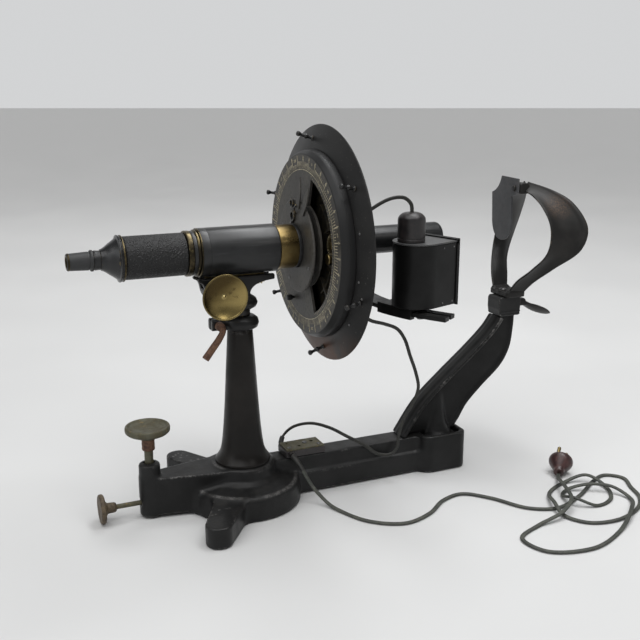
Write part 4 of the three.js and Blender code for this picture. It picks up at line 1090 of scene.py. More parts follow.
def terminals(dark, green, steel_paint):
    block_form = block(51.5, 103.5, -14.5, 14.5, 48, 56)
    bevelled(stand_in("terminal_block", block_form, dark), 0.7)
    for name, side in (("ferrule_near", -1), ("ferrule_far", 1)):
        profile = [(2.6, 14), (3.9, 14), (3.9, 16.3), (3.5, 17.5), (2.6, 17.5)]
        ring = lathe(rounded([(r, side * y) for r, y in profile], 0.3), "Y", 40, (58, 0, 52))
        piece(name, ring, dark, "base")
    plate = block(52.5, 102.5, -13.7, 13.7, 56.3, 58.2)
    holes = [
        lathe([(0, 50), (r, 50), (r, 60), (0, 60)], "Z", 20, (x, y, 0))
        for x, y, r in ((72, -5, 2.1), (92, 4, 2.3), (60, 7, 1.4))
    ]
    bevelled(stand_in("terminal_plate", carved(plate, *holes), green), 0.45)
    heads = [
        screw_head(radius, height, turn).moved(x, y, 58.2)
        for radius, height, turn, x, y in (
            (3.1, 1.5, 65, 82, 2), (2.4, 1.2, 15, 97, -8), (2.4, 1.2, -40, 58, -7),
        )
    ]
    piece("terminal_screws", gathered(heads), steel_paint, "base")


def make_stand(paints):
    base_casting(paints["casting"])
    column(paints["smooth_japan"])
    clamp_collar(paints["japan"])
    clamp_lever(paints["rust"])
    swivel_post(paints["satin"])
    saddle(paints["japan"])
    levelling(paints["green"], paints["rust"])
    lock_screw(paints["bronze"], paints["green"])
    terminals(paints["cap"], paints["green"], paints["steel"])


# ---------- telescope ----------
def focus_knob(paint):
    outline = [
        (0, 0), (7, 0), (8, 3), (20, 3.6), (24.4, 6.4), (26.6, 9.6), (26.6, 11.2), (25.6, 11.9),
        (24.6, 11.3),
    ]
    bowl = [(r, 4.6 + 6.3 * (r / 24) ** 1.9) for r in np.linspace(24.2, 3.4, 24)]
    profile = [*rounded(outline, 0.5, closed=False), *bowl, (2.2, 4.9), (1.2, 5.8), (0.5, 6.7), (0, 6.9)]
    form = lathe([(r, -y) for r, y in profile], "Y", 128, (PINION[0], -26, PINION[2]))
    stand_in("focus_knob", form, paint, 40)


def pinion_cap(paint):
    profile = [
        (0, 14.6), (7.2, 14.6), (8, 15.4), (8, 18), (6.6, 19.2), (2.4, 19.4), (1.6, 18.6), (0, 18.5),
    ]
    stand_in("pinion_cap", lathe(rounded(profile, 0.4), "Y", 56, PINION), paint, 40)


def barrel(satin, brass_paint):
    tube = [(24.8, -39.5), (27.8, -39.5), (27.8, 42.4), (27.0, 43.3), (24.8, 43.3)]
    stand_in("main_barrel", telescopic(tube, 0.5), satin)
    skirt = [(25.2, -48.4), (27.8, -48.4), (27.8, -39.6), (25.2, -39.6)]
    piece("barrel_skirt", telescopic(skirt, 0.05), satin, "telescope")
    rim = [(25.2, -50), (27.1, -50), (27.9, -49.2), (27.9, -48.5), (25.2, -48.5)]
    piece("barrel_rim", telescopic(rim, 0.3), brass_paint, "telescope")


def rear_collar(brass_paint, satin):
    profile = [
        (21.5, -64), (25, -64), (25.9, -63.2), (25.9, -58.6), (25.2, -57.8), (24.8, -57.4),
        (24.8, -53.6), (25.8, -53.2), (26.5, -52.4), (26.5, -50.8), (25, -50.2), (25, -40),
        (21.5, -40),
    ]
    stand_in("rear_collar", telescopic(profile, 0.3), brass_paint)
    band = telescopic([(24.5, -57.6), (25.2, -57.6), (25.3, -56), (25.2, -53.7), (24.5, -53.7)], 0.1)
    piece("collar_band", band, satin, "telescope")


def draw_tube(grip):
    tube = [
        (19.5, -132.3), (23.4, -132.3), (24, -131.4), (24, -65), (21.1, -64.3), (21.1, -22), (19.5, -22),
    ]
    stand_in("draw_tube", telescopic(tube, 0.4, 160), grip)


def bell(satin, brass_paint):
    neck = [(9.6, -157), (11.4, -157), (11.9, -156)]
    flare = smooth_line([(12.0, -155.2), (14.2, -151.6), (17.2, -147.6), (20.4, -143), (23.2, -139.4)], 20)
    rims = [(25.9, -138.6), (26.1, -137.2), (25, -136), (25.2, -135.4), (24.4, -134.6), (24.4, -132.6)]
    inner = [(19.5, -132.6), (16, -140), (9.6, -146)]
    profile = rounded(neck, 0.4, closed=False) + list(map(tuple, flare))
    profile += rounded([tuple(flare[-1]), *rims, *inner], 0.4, closed=False)[1:]
    stand_in("bell_flange", telescopic(profile, 0.01), satin)
    bead = [(24, -135.2), (25.4, -135.2), (25.9, -134.2), (25.4, -133.1), (24, -133)]
    piece("bell_bead", telescopic(bead, 0.5), brass_paint, "draw_tube")


def eyepiece(satin, matt, brass_paint):
    tube = [
        (7.4, -164.6), (10.4, -164.6), (10.9, -162.6), (10.5, -159), (10.6, -157.3), (9.3, -157.3),
        (9.3, -143), (7.4, -143),
    ]
    stand_in("eyepiece_tube", telescopic(tube, 0.3, 96), satin)
    cup = [
        (6.8, -192.4), (8.6, -192.9), (9.2, -191.4), (9.35, -189.6), (10.2, -170), (9.7, -168.8),
        (11.8, -167.2), (11.6, -165), (7.4, -165), (7.4, -187), (6.6, -188),
    ]
    stand_in("eyecup", telescopic(cup, 0.3, 96), matt)
    band = [(9.0, -192.2), (9.55, -191.8), (9.65, -190.2), (9.1, -189.6), (9.0, -190)]
    rim = [(5.9, -192.6), (7.9, -193), (8.2, -192.2), (5.9, -191.2)]
    piece("eyecup_band", telescopic(band, 0.2, 80), brass_paint, "eyepiece")
    piece("eyecup_rim", telescopic(rim, 0.2, 80), brass_paint, "eyepiece")


def lens(node, x, radius, rim, bulge, paint):
    """A lens that swells by the bulge on both sides of its rim."""
    across = np.linspace(0, radius, 14)
    front = [(r, x - rim / 2 - bulge * (1 - (r / radius) ** 2)) for r in across]
    back = [(r, x + rim / 2 + bulge * (1 - (r / radius) ** 2)) for r in across[::-1]]
    stand_in(node, telescopic(front + back, 0.1, 64), paint)


def sleeve(bright, dark):
    form = [
        (17.4, 43.7), (25.2, 43.7), (25.7, 44.4), (25.7, 66), (25.2, 66.5), (25.2, 70.7), (17.4, 70.7),
    ]
    stand_in("brass_sleeve", telescopic(form, 0.3), bright)
    worn = [(25.0, 66.4), (25.6, 66.4), (25.9, 67), (25.9, 70.2), (25.4, 70.7), (25.0, 70.7)]
    piece("sleeve_collar", telescopic(worn, 0.25), dark, "telescope")


def inner_disc(paint, steel_paint):
    form = [(17.4, 71), (53.9, 71), (55, 72), (55, 73.4), (24, 73.6), (24, 95), (17.4, 95)]
    stand_in("inner_disc", telescopic(form, 0.4, 144), paint)
    heads = []
    for angle, radius in ((-62, 44), (118, 44), (205, 46)):
        turn = math.radians(angle)
        head = screw_head(1.9, 0.9, angle).led((-1, 0, 0))
        heads.append(head.moved(71.1, -radius * math.sin(turn), AXIS + radius * math.cos(turn)))
    piece("disc_screws", gathered(heads), steel_paint, "telescope")


def pointer(node, angle, paint):
    outline = [(-3.4, 46), (3.4, 46), (5.4, 62)] + quadratic((5.4, 62), (6, 72), (0, 84))[1:]
    outline += quadratic((0, 84), (-6, 72), (-5.4, 62))[1:]
    form = prism(outline, 69.2, 70.7, "X").turned("X", angle)
    bevelled(stand_in(node, form.moved(z=AXIS), paint), 0.35)


def disc_bracket(paint, steel_paint):
    """Small hooked bracket with two rings on the inner disc."""
    turn = math.radians(-8)
    rings = []
    for radius, big, small in ((35, 6.4, 4.4), (50, 5.2, 3.4)):
        ring = lathe(rounded([(small, 68.4), (big, 68.4), (big, 70.9), (small, 70.9)], 0.4), "X", 40)
        rings.append(ring.moved(y=-radius * math.sin(turn), z=AXIS + radius * math.cos(turn)))
    hook = smooth_line([(69.4, 0, 39), (66.8, -2, 42), (66.6, -1.4, 46), (69.6, 0.4, 49)], 16)
    shape = swept(hook, round_section(1.3, 14), (0, 1, 0)).turned("X", math.degrees(-turn))
    piece("disc_bracket", gathered(rings) + shape.moved(z=AXIS), paint, "telescope")
    pin = lathe(rounded([(0, 67.6), (1.6, 67.6), (1.6, 71), (0, 71)], 0.4), "X", 20)
    piece("bracket_pin", pin.moved(y=6.5, z=AXIS + 27), steel_paint, "telescope")


def objective(paint):
    form = [
        (15, 49), (17, 49), (17, 260), (16.4, 262.4), (15, 264.2), (12.8, 265), (12, 264.6),
        (12, 262), (15, 261.6),
    ]
    stand_in("objective_tube", telescopic(form, 0.5, 112), paint)


def repaint(paint, *nodes):
    """CAD nodes shown as they are, in a detailed material."""
    for node in nodes:
        bpy.data.objects[node].data.materials.clear()
        bpy.data.objects[node].data.materials.append(paint)


def make_telescope(paints):
    focus_knob(paints["knob"])
    pinion_cap(paints["knob"])
    barrel(paints["tube"], paints["collar"])
    rear_collar(paints["collar"], paints["satin"])
    draw_tube(paints["leather"])
    bell(paints["bell"], paints["collar"])
    eyepiece(paints["satin"], paints["matt"], paints["collar"])
    lens("eye_lens", -190.3, 6.2, 1.2, 0.8, paints["glass"])
    lens("field_lens", -150, 7, 1.6, 1, paints["glass"])
    lens("objective_lens", 256, 14.6, 3, 1.4, paints["glass"])
    sleeve(paints["sleeve"], paints["satin"])
    inner_disc(paints["dial"], paints["steel"])
    pointer("pointer_left", 13, paints["dial"])
    pointer("pointer_right", 31, paints["dial"])
    disc_bracket(paints["satin"], paints["steel"])
    objective(paints["tube"])
    repaint(paints["fittings"], "pinion_shaft", "focus_rack")
    repaint(paints["glass"], "doubling_prism")


# ---------- graduated disc ----------
def round_place(form, angle):
    """Carried from the top of the dial round its axis, towards the near side."""
    return form.turned("X", angle).moved(z=AXIS)


def sector(inner, outer, low, high, start, end):
    """Part of a ring between two angles from the top towards the near side."""
    steps = max(2, round((end - start) / 2))
    outline = arc(outer, 90 + start, 90 + end, steps) + arc(inner, 90 + end, 90 + start, steps)
    return prism(outline, low, high, "X").moved(z=AXIS)


def dial_plate(paint):
    profile = [
        (24.6, 81.4), (105.6, 81.4), (106.6, 81.9), (110, 87), (110.8, 89.5), (111, 97), (103, 97),
        (103, 84.4), (24.6, 84.4),
    ]
    drum = telescopic(profile, 0.5, 180)
    window = sector(50, 82, 76, 90, 16, 158)
    stand_in("dial_plate", carved(drum, window), paint)


INLAY = (DIAL_X - 0.15, DIAL_X + 0.05)  # from the proud face of the marks to just below the dial


def dial_marks(paint):
    """Thin circle and radial strokes of the dial's degree scale."""
    low, high = INLAY
    marks = [telescopic([(88.0, high), (88.0, low), (88.8, low), (88.8, high)], 0.05, 180)]
    for degree in range(0, 360, 2):
        ten = degree % 10 == 0
        figured = abs(degree % 30 - 15) < 5
        reach, half = (101.5, 0.6) if ten else (94.6 if figured else 97.6, 0.36)
        stroke = [(-half, 89.6), (half, 89.6), (half, reach), (-half, reach)]
        marks.append(round_place(prism(stroke, *INLAY, "X"), degree))
        if ten:
            head = [(0, 104.6), (-1.9, 99.6), (-0.5, 100.4), (0.5, 100.4), (1.9, 99.6)]
            marks.append(round_place(prism(head, *INLAY, "X"), degree))
    piece("dial_marks", gathered(marks), paint, "disc", 180)


def dial_figures(paint):
    """Generic figures of the degree scale, every thirty degrees."""
    figures = []
    for degree in range(15, 360, 30):
        shape = lettering(str((degree - 15) % 180), 4.6)
        facing = Form(shape.points[:, (2, 0, 1)] * (-1, -1, 1), shape.faces)
        figures.append(round_place(facing.moved(x=DIAL_X - 0.06, z=FIGURE_RADIUS), degree))
    piece("dial_figures", gathered(figures), paint, "disc", 180)


def window_marks(paint):
    """Finer second scale by the window's outer edge."""
    marks = []
    for step in range(48):
        reach = 86.4 if step % 5 == 0 else 84.8
        stroke = [(-0.2, 82.8), (0.2, 82.8), (0.2, reach), (-0.2, reach)]
        marks.append(round_place(prism(stroke, *INLAY, "X"), 16 + 3 * step))
    piece("window_marks", gathered(marks), paint, "disc", 180)


def window_works(matt, fittings, steel_paint):
    """What shows through the window: a ribbed floor, arms and small screws."""
    floor = sector(27, 84, 94.4, 96.8, 10, 164)
    piece("window_floor", floor, matt, "disc")
    ribs = [
        sector(57, 59, 90, 94.6, 30, 66), sector(72, 73.6, 89, 94.6, 14, 60),
        sector(60, 62, 90, 94.6, 112, 150),
    ]
    ribs += [sector(46, 78, 89, 94.6, angle, angle + 2.2) for angle in (64, 104, 136)]
    piece("window_ribs", gathered(ribs), matt, "disc")
    heads = [
        round_place(screw_head(1.7, 1.0, angle).led((-1, 0, 0)).moved(x=94.2, z=radius), angle)
        for angle, radius in ((40, 66), (53, 66), (120, 70))
    ]
    piece("window_screws", gathered(heads), steel_paint, "disc")
    small = lathe(rounded([(0, 88), (6, 88), (6.6, 89), (6.6, 94.4), (0, 94.4)], 0.4), "X", 40)
    wheel = small.moved(y=-53, z=AXIS - 9)
    piece("idler_wheel", wheel, fittings, "disc")


def cone_disc(paint, steel_paint):
    profile = [
        (17.3, 97.3), (112, 97.3), (139.3, 104.9), (140, 106), (139.2, 107.1), (112, 100.5), (30, 100.5),
        (30, 112), (17.3, 112),
    ]
    stand_in("cone_disc", telescopic(profile, 0.5, 180), paint)
    heads = []
    for angle, radius in ((76, 118), (102, 117), (110, 125), (131, 119), (-70, 120), (-120, 118)):
        level = 97.3 + (radius - 112) * 0.28
        head = screw_head(1.35, 0.7, angle).led((-1, 0, 0.27))
        heads.append(round_place(head.moved(x=level, z=radius), angle))
    piece("cone_screws", gathered(heads), steel_paint, "disc")


def pegs(paint):
    profile = [
        (0, 0), (3.1, 0), (3.2, 0.8), (2.2, 1.6), (1.8, 2.6), (1.8, 5.6), (2.7, 6.6), (3.1, 8.2),
        (2.7, 9.8), (1.9, 10.8), (1.7, 14.8), (2.3, 16), (3.1, 17.6), (3.1, 19), (2.1, 20.4),
        (0, 20.6),
    ]
    turned = lathe(rounded(profile, 0.6), "X", 28)
    upright = Form(turned.points * (-1, 1, 1), turned.faces).turned("Y", 18)
    foot = 97.3 + (106.1 - 97) / 28 * 12 - 1.4
    for number in range(6):
        form = upright.moved(x=foot, z=124).turned("X", -(7.5 + 60 * number)).moved(z=AXIS)
        stand_in(f"peg_{number + 1}", form, paint)


def scale_wheel(paint, cream):
    profile = [
        (0, 86), (4, 86), (4, 87.4), (12, 87.4), (13.2, 88.2), (13.4, 93.8), (12, 94.5), (3, 94.5),
        (3, 96), (0, 96),
    ]
    wheel = lathe(rounded(profile, 0.25), "X", 120)
    turn = np.arctan2(wheel.points[:, 1], wheel.points[:, 2])
    outside = np.hypot(wheel.points[:, 1], wheel.points[:, 2]) > 12.9
    knurl = np.where(outside & (np.round(turn * 120 / (2 * math.pi)) % 2 == 0), 0.965, 1.0)
    wheel.points[:, 1:] *= knurl[:, None]
    place = {"y": -66, "z": AXIS + 9}
    stand_in("scale_wheel", wheel.moved(**place), paint)
    marks = []
    for step in range(20):
        inner = 8.2 if step % 5 == 0 else 9.6
        stroke = [(-0.25, inner), (0.25, inner), (0.25, 11.6), (-0.25, 11.6)]
        marks.append(prism(stroke, 87.2, 87.5, "X").turned("X", 18 * step))
    piece("wheel_marks", gathered(marks).moved(**place), cream, "scale_wheel", 180)


def setting_knob(paint):
    profile = [(0, 72), (2.8, 72), (3.6, 73), (3.6, 78), (2.8, 79.3), (1.6, 79.7), (1.6, 94), (0, 94)]
    form = lathe(rounded(profile, 0.35), "X", 48).moved(y=32, z=AXIS - 70)
    stand_in("setting_knob", form, paint)


def make_disc(paints):
    dial_plate(paints["dial"])
    dial_marks(paints["cream"])
    dial_figures(paints["cream"])
    window_marks(paints["cream"])
    window_works(paints["pit"], paints["fittings"], paints["steel"])
    cone_disc(paints["cone"], paints["steel"])
    pegs(paints["satin"])
    scale_wheel(paints["fittings"], paints["cream"])
    setting_knob(paints["satin"])


# ---------- lamp ----------
def arm_outline(inner, outer, start, end, steps):
    near = arc(inner, 180 + start, 180 + end, steps, (EYE_X, 0))
    return near + arc(outer, 180 + end, 180 + start, steps, (EYE_X, 0))


def arc_arm(paint):
    form = prism(arm_outline(ARM_RADIUS - 13, ARM_RADIUS + 13, -9.5, 35, 60), 233.5, 238.5)
    slot = prism(arm_outline(ARM_RADIUS - 2.6, ARM_RADIUS + 2.6, 25.6, 36, 20), 230, 242)
    bevelled(stand_in("arc_arm", carved(form, slot), paint), 0.6)


def arm_bracket(paint, steel_paint):
    side = [(100.7, 227.2), (184, 227.2), (184, 233.2), (112, 233.2)]
    side += [*quadratic((112, 233.2), (107, 233.5), (107, 239)), (107, 277.5), (100.7, 277.5)]
    form = prism(side, -6, 18, "Y")
    bevelled(stand_in("arm_bracket", form, paint), 0.7)
    heads = [
        screw_head(2.6, 1.4, 30).led((1, 0, 0)).moved(107, y, z)
        for y, z in ((0, 268), (12, 268), (6, 256))
    ]
    piece("bracket_screws", gathered(heads), steel_paint, "disc")


def lamp_carriage(paint, steel_paint):
    clasp = prism(arm_outline(ARM_RADIUS - 16, ARM_RADIUS + 16, 10.6, 24, 24), 230.1, 242.7)
    channel = prism(arm_outline(ARM_RADIUS - 13.5, ARM_RADIUS + 13.5, 10, 25, 24), 233.1, 238.9)
    mouth = prism(arm_outline(ARM_RADIUS - 8, ARM_RADIUS + 8, 10, 25, 24), 225, 233.5)
    bevelled(stand_in("lamp_carriage", carved(clasp, channel, mouth), paint), 0.6)
    turn = math.radians(180 + 22.4)
    head = lathe(rounded([(0, 225.6), (4.6, 225.6), (5, 226.4), (5, 229.8), (0, 229.8)], 0.4), "Z", 32)
    place = (EYE_X + (ARM_RADIUS - 12) * math.cos(turn), (ARM_RADIUS - 12) * math.sin(turn), 0)
    piece("carriage_screw", head.moved(*place), steel_paint, BODY_OF["lamp_house"])


def lamp_outline(grow):
    """Half-round plan of the lamp house, flat side towards the patient, grown all round."""
    half = 29 + grow
    bow = arc(half, 90, 270, 40, (-35, 0))[1:-1]
    return [(grow, half), (-35, half), *bow, (-35, -half), (grow, -half)]


def lamp_place(form):
    return form.turned("Z", LAMP_AIM).moved(*LAMP_PLACE)


def lamp_house(paint, steel_paint):
    shell = prism(lamp_outline(0), 243, 316.5)
    room = prism(lamp_outline(-1.6), 245, 330)
    opening = block(-6, 6, -19, 19, 253.75, 305.75)
    bevelled(stand_in("lamp_house", lamp_place(carved(shell, room, opening)), paint), 0.5)
    rivets = []
    for x, z in ((-22, 312), (-4.5, 312), (-22, 247.5), (-4.5, 247.5)):
        for side in (-1, 1):
            head = lathe([(0, 0.75), (0.55, 0.62), (0.95, 0.3), (1.1, -0.3), (0, -0.3)], "Z", 14)
            rivets.append(head.led((0, side, 0)).moved(x, 29 * side, z))
    piece("lamp_rivets", lamp_place(gathered(rivets)), steel_paint, "lamp")


def lamp_lid(paint):
    lid = lamp_place(prism(lamp_outline(0.5), 316.8, 318.8))
    hole = lathe([(0, 310), (11.5, 310), (11.5, 325), (0, 325)], "Z", 48, CAP_PLACE)
    bevelled(stand_in("lamp_lid", carved(lid, hole), paint), 0.5)


def mire(glass, paint):
    stand_in("mire_glass", lamp_place(block(0.3, 2.3, -25, 25, 246.75, 312.75)), glass)
    frame_form = block(2.6, 4.6, -30.5, 30.5, 241.75, 320.75)
    window = block(0, 8, -19, 19, 253.75, 305.75)
    bevelled(stand_in("mire_frame", lamp_place(carved(frame_form, window)), paint), 0.4)
    lips = block(0.25, 2.75, 28.8, 30.4, 244.75, 314.75)
    lips += block(0.25, 2.75, -30.4, -28.8, 244.75, 314.75)
    bevelled(piece("mire_slides", lamp_place(lips), paint, "lamp"), 0.3)
    ridge = block(-1.8, 2.6, -30, 30, 318.9, 320.6)
    bevelled(piece("lid_lip", lamp_place(ridge), paint, "lamp"), 0.35)


def socket_cap(paint):
    dome = [(16, 343.5), (15.5, 346.6), (13.2, 349.7), (9.6, 351.9), (5.4, 352.8), (3.1, 352.9)]
    dome = smooth_line(dome, 18)
    foot = [(11.2, 319.1), (16, 319.1), (16, 322.6), (15.5, 323.2), (16, 323.8)]
    foot = rounded([*foot, (16, 343.5)], 0.4, closed=False)
    under = [(2.6, 352), (2.6, 346), (11.2, 344)]
    profile = [*foot[:-1], *map(tuple, dome), *under]
    stand_in("socket_cap", lathe(profile, "Z", 112, CAP_PLACE), paint)


def bulb(paint):
    pear = [(0, 268), (7, 269.6), (12.5, 275), (14.6, 283), (12.8, 291), (9.6, 299), (9.2, 303)]
    profile = [*map(tuple, smooth_line(pear, 40)), (10.6, 304), (10.6, 330), (0, 330)]
    stand_in("bulb", lathe(profile, "Z", 64, CAP_PLACE), paint)


def make_lamp(paints):
    arc_arm(paints["lamp"])
    arm_bracket(paints["lamp"], paints["steel"])
    lamp_carriage(paints["lamp"], paints["steel"])
    lamp_house(paints["lamp"], paints["steel"])
    lamp_lid(paints["lid"])
    mire(paints["glass"], paints["lamp"])
    socket_cap(paints["cap"])
    bulb(paints["milky"])


# ---------- face rest ----------
ARM_FRONT = [(213, 48), (243, 90), (281, 124), (320, 156), (347, 181), (358, 196)]
ARM_BACK = [(384, 196), (383, 176), (379, 150), (367, 128), (337, 101), (314, 78), (303, 60), (294, 48)]
BUTTRESS = [
    (0, 41.8), (22, 41.8), (21.5, 44), (17, 49), (12.5, 60), (9, 78), (6, 96), (3, 106), (0, 108),
]


def arm_field(x, y, z):
    """The face rest's S-shaped arm: a web between two ribs, on a buttress."""
    front = [tuple(p) for p in smooth_line(ARM_FRONT, 40)]
    back = [tuple(p) for p in smooth_line(ARM_BACK, 44)]
    web = polygon_distance(front + back, x, z)
    to_front = polygon_distance([*front, *((u + 4.6, v - 2.7) for u, v in reversed(front))], x, z)
    to_back = polygon_distance([*back, *((u - 4.4, v + 2.2) for u, v in reversed(back))], x, z)
    solid = pushed(web, y, -4.5, 4.5)
    solid = joined(solid, pushed(to_front, y, -15, 15), 4)
    solid = joined(solid, pushed(to_back, y, -6.5, 6.5), 4)
    cone = turned_distance(BUTTRESS, np.hypot(x - 272, y), z)
    solid = joined(solid, cone, 3)
    foot = np.maximum(np.hypot(x - 272, y) - 22.4, 41.8 - z)
    return np.maximum(solid, np.minimum(48 - z, foot))


def headrest_arm(paint):
    form = solid_of(arm_field, (206, -24, 39), (388, 24, 198), 1.25)
    stand_in("headrest_arm", form, paint, 180)


def clamp_field(x, y, z):
    side = [
        (357, 196.3), (386, 196.3), (388, 206), (388, 218), (386, 222), (357, 222), (354.5, 219),
        (354.5, 206),
    ]
    solid = pushed(polygon_distance(side, x, z), y, -14, 14)
    for level in (197.6, 201.0):
        ridge = block_distance(x, y, z, 356, 388, -14.6, 14.6, level, level + 1.5)
        solid = joined(solid, ridge, 1.0)
    return less(solid, np.maximum(np.hypot(x - CLAMP_SCREW_X, y) - 2.6, 210 - z), 0.4)


def clamp_block(paint, steel_paint):
    stand_in("clamp_block", solid_of(clamp_field, (351, -18, 193), (392, 18, 225), 0.7), paint, 180)
    head = screw_head(4.6, 2.4, 40).moved(CLAMP_SCREW_X, 0, 229.6)
    shank = rounded([(0, 210.5), (2, 210.5), (2, 229.8), (0, 229.8)], 0.3)
    stand_in("clamp_screw", head + lathe(shank, "Z", 32, (CLAMP_SCREW_X, 0, 0)), steel_paint)


WING_FRONT = [
    (364, -17, 229), (368, -28, 245), (378, -44, 262), (391, -59, 287), (396, -56, 317), (394, -40, 341),
    (391, -20, 355), (388, -4, 360),
]
WING_REAR = [
    (387, -17, 226), (395, -29, 242), (409, -51, 263), (433, -73, 290), (442, -72, 317), (434, -50, 347),
    (419, -29, 361), (397, -4, 371),
]


def wing(side):
    """One curved sheet of the face frame, thicker along its rear rim."""
    count, across = 90, 26  # stations along the sheet and steps over its width
    front = smooth_line([(x, side * y, z) for x, y, z in WING_FRONT], count)
    rear = smooth_line([(x, side * y, z) for x, y, z in WING_REAR], count)
    forward = np.gradient(front, axis=0)
    points = []
    for along in range(count):
        t = along / (count - 1)
        normal = np.cross(forward[along], rear[along] - front[along])
        normal /= np.linalg.norm(normal)
        low, high = [], []
        for step in range(across + 1):
            over = step / across
            bow = 5 * math.sin(math.pi * over) * math.sin(math.pi * t)
            middle = front[along] * (1 - over) + rear[along] * over + normal * side * bow
            rim = 1.1 * math.exp(-(((over - 0.90) / 0.038) ** 2)) * math.sin(math.pi * t) ** 0.5
            edge = max(0.0, 1 - min(over, 1 - over) / 0.035)
            half = 1.3 * math.sqrt(max(0.04, 1 - edge**2))
            low.append(middle - normal * (half + (rim if side > 0 else 0.4 * rim)))
            high.append(middle + normal * (half + (rim if side < 0 else 0.4 * rim)))
        points += low + high[::-1]
    ring = 2 * (across + 1)
    faces = []
    for along in range(count - 1):
        for i in range(ring):
            j = (i + 1) % ring
            a = along * ring
            faces.append((a + i, a + j, a + ring + j, a + ring + i))
    faces.append(tuple(range(ring)))
    faces.append(tuple(range((count - 1) * ring, count * ring)))
    return Form(points, faces)


def frame_joints(x, y, z):
    foot = pushed(rounded_rectangle(x, y, 361, 390, -20, 20, 4), z, 222.4, 229)
    for side in (-1, 1):
        root = pushed(rounded_rectangle(x, y, 364, 388, 17 * side - 3, 17 * side + 3, 2), z, 224, 232)
        foot = joined(foot, root, 4)
    collar = np.maximum(np.hypot(x - CLAMP_SCREW_X, y) - 7.4, np.abs(z - 226.2) - 3.1)
    foot = joined(foot, collar, 1.5)
    foot = less(foot, np.hypot(x - CLAMP_SCREW_X, y) - 2.6, 0.3)
    tie = pushed(rounded_rectangle(x, z, 381, 396, 356, 370, 4), y, -9, 9)
    boss = np.maximum(np.hypot(y, z - BROW_Z) - 6.4, np.abs(x - 388.5) - 7.5)
    solid = np.minimum(foot, joined(tie, boss, 2))
    return less(solid, np.hypot(y, z - BROW_Z) - 2.5, 0.3)


def face_frame(paint):
    joints = solid_of(frame_joints, (357, -24, 219), (398, 24, 373), 0.9)
    stand_in("face_frame", wing(1) + wing(-1) + joints, paint, 50)


def leaf_field(x, y, z):
    turn = math.radians(25)
    u = (x - 420) * math.cos(turn) - (z - 201) * math.sin(turn)
    w = (x - 420) * math.sin(turn) + (z - 201) * math.cos(turn)
    w = w - 8 * (y / 20) ** 2 + 3.5 * (1 - (u / 27) ** 2)
    leaf = (np.sqrt((u / 27) ** 2 + (y / 20) ** 2 + (w / 2.4) ** 2) - 1) * 2.0
    stem = pushed(rounded_rectangle(y, z, -7, 7, 206, 216, 2.5), x, 388.4, 401)
    return joined(leaf, stem, 3)


def chin_rest(paint):
    form = solid_of(leaf_field, (385, -23, 180), (452, 23, 226), 0.8)
    stand_in("chin_rest", form, paint, 180)


def occluder(paint, pin_paint):
    outline = [(-8, 376), (-8, 357), (5.5, 352), (3, 320)]
    bowl = (
        ((3, 320), (3, 303), (12, 292), (25, 292)),
        ((25, 292), (38, 292), (47, 303), (47.5, 320)),
    )
    for control in bowl:
        a, b, c, d = (np.array(p, float) for p in control)
        for t in np.linspace(0, 1, 19)[1:]:
            inner = 3 * t * (1 - t) ** 2 * b + 3 * t * t * (1 - t) * c
            outline.append(tuple((1 - t) ** 3 * a + inner + t**3 * d))
    outline += [(50, 354), *quadratic((50, 354), (34, 359), (29.5, 377), 12)[1:]]
    sheet = prism(outline, 378, 380.2, "X")
    hole = lathe([(0, 370), (2.5, 370), (2.5, 390), (0, 390)], "X", 24, (0, 0, BROW_Z))
    bevelled(stand_in("occluder", carved(sheet, hole), paint), 0.5)
    pin = [
        (0, 375.2), (3, 375.3), (4, 376), (4, 377.7), (2, 377.7), (2, 396.3), (3.6, 396.3),
        (3.6, 398.6), (0, 398.6),
    ]
    stand_in("occluder_pin", lathe(rounded(pin, 0.4), "X", 40, (0, 0, BROW_Z)), pin_paint)


def make_face_rest(paints):
    headrest_arm(paints["arm"])
    clamp_block(paints["japan"], paints["steel"])
    face_frame(paints["wings"])
    chin_rest(paints["wings"])
    occluder(paints["occluder"], paints["satin"])


# ---------- leads ----------
LAMP_ROUTE = [
    (58, 19.2, 52), (59.4, 24.4, 54), (64, 28.4, 60.4), (76, 26, 71), (96, 15, 77),
    (118, 6, 71), (138, -6, 60), (156, -17, 50), (174, -20, 36), (192, -21.5, 32.5),
    (200, -23.5, 40), (202, -25, 58), (208, -26, 80), (220, -27, 99),
    (227, -28, 120), (223, -28, 140), (214, -28, 164), (205, -29, 187), (193, -31, 202), (174, -34, 211),
    (152, -38, 219), (136, -42, 232), (125, -45, 254), (119, -48, 280), (118, -51, 306),
    (120, -54, 328), (127, -60, 346), (142, -67, 360), (160, -73, 369),
    (174, -76, 369), (181.6, -77.8, 362), (183, -78, 354), (183, -78, 347.4),
]
MAINS_ROUTE = [
    (58, -19.3, 52), (59, -24.4, 50.2), (63, -33, 42), (72, -47, 21), (84, -64, 6),
    (92, -84, 3), (112, -122, 3),
    (148, -143, 3), (186, -133, 3), (220, -109, 3), (250, -103, 3), (276, -127, 3),
    (302, -168, 3), (334, -182, 3), (380, -166, 3), (424, -139, 3), (450, -130, 3),
    (466, -146, 3), (456, -172, 3), (446, -198, 3), (422, -221, 3), (380, -235, 3),
    (344, -227, 3), (328, -202, 4), (331, -180, 9), (350, -146, 3.6), (386, -128, 3.4), (417, -133, 9.4),
    (427, -156, 4.4), (411, -187, 3), (382, -196, 3), (360, -181, 9.8), (360, -159, 4),
    (378, -147, 4), (400, -155, 9), (424, -171, 9), (432, -196, 4), (406, -228, 8.6), (362, -258, 3),
    (308, -277, 3), (258, -262, 3), (250, -228, 3), (284, -210, 3), (324, -204, 9),
    (350, -187, 13), (362, -162, 14), (372, -138, 12), (381, -123, 7.4), (389.6, -112.4, 7),
]


RELIEF_POINTS = 14  # points of the mains lead's line that are inside its sleeve
WRAP_POINTS = 9


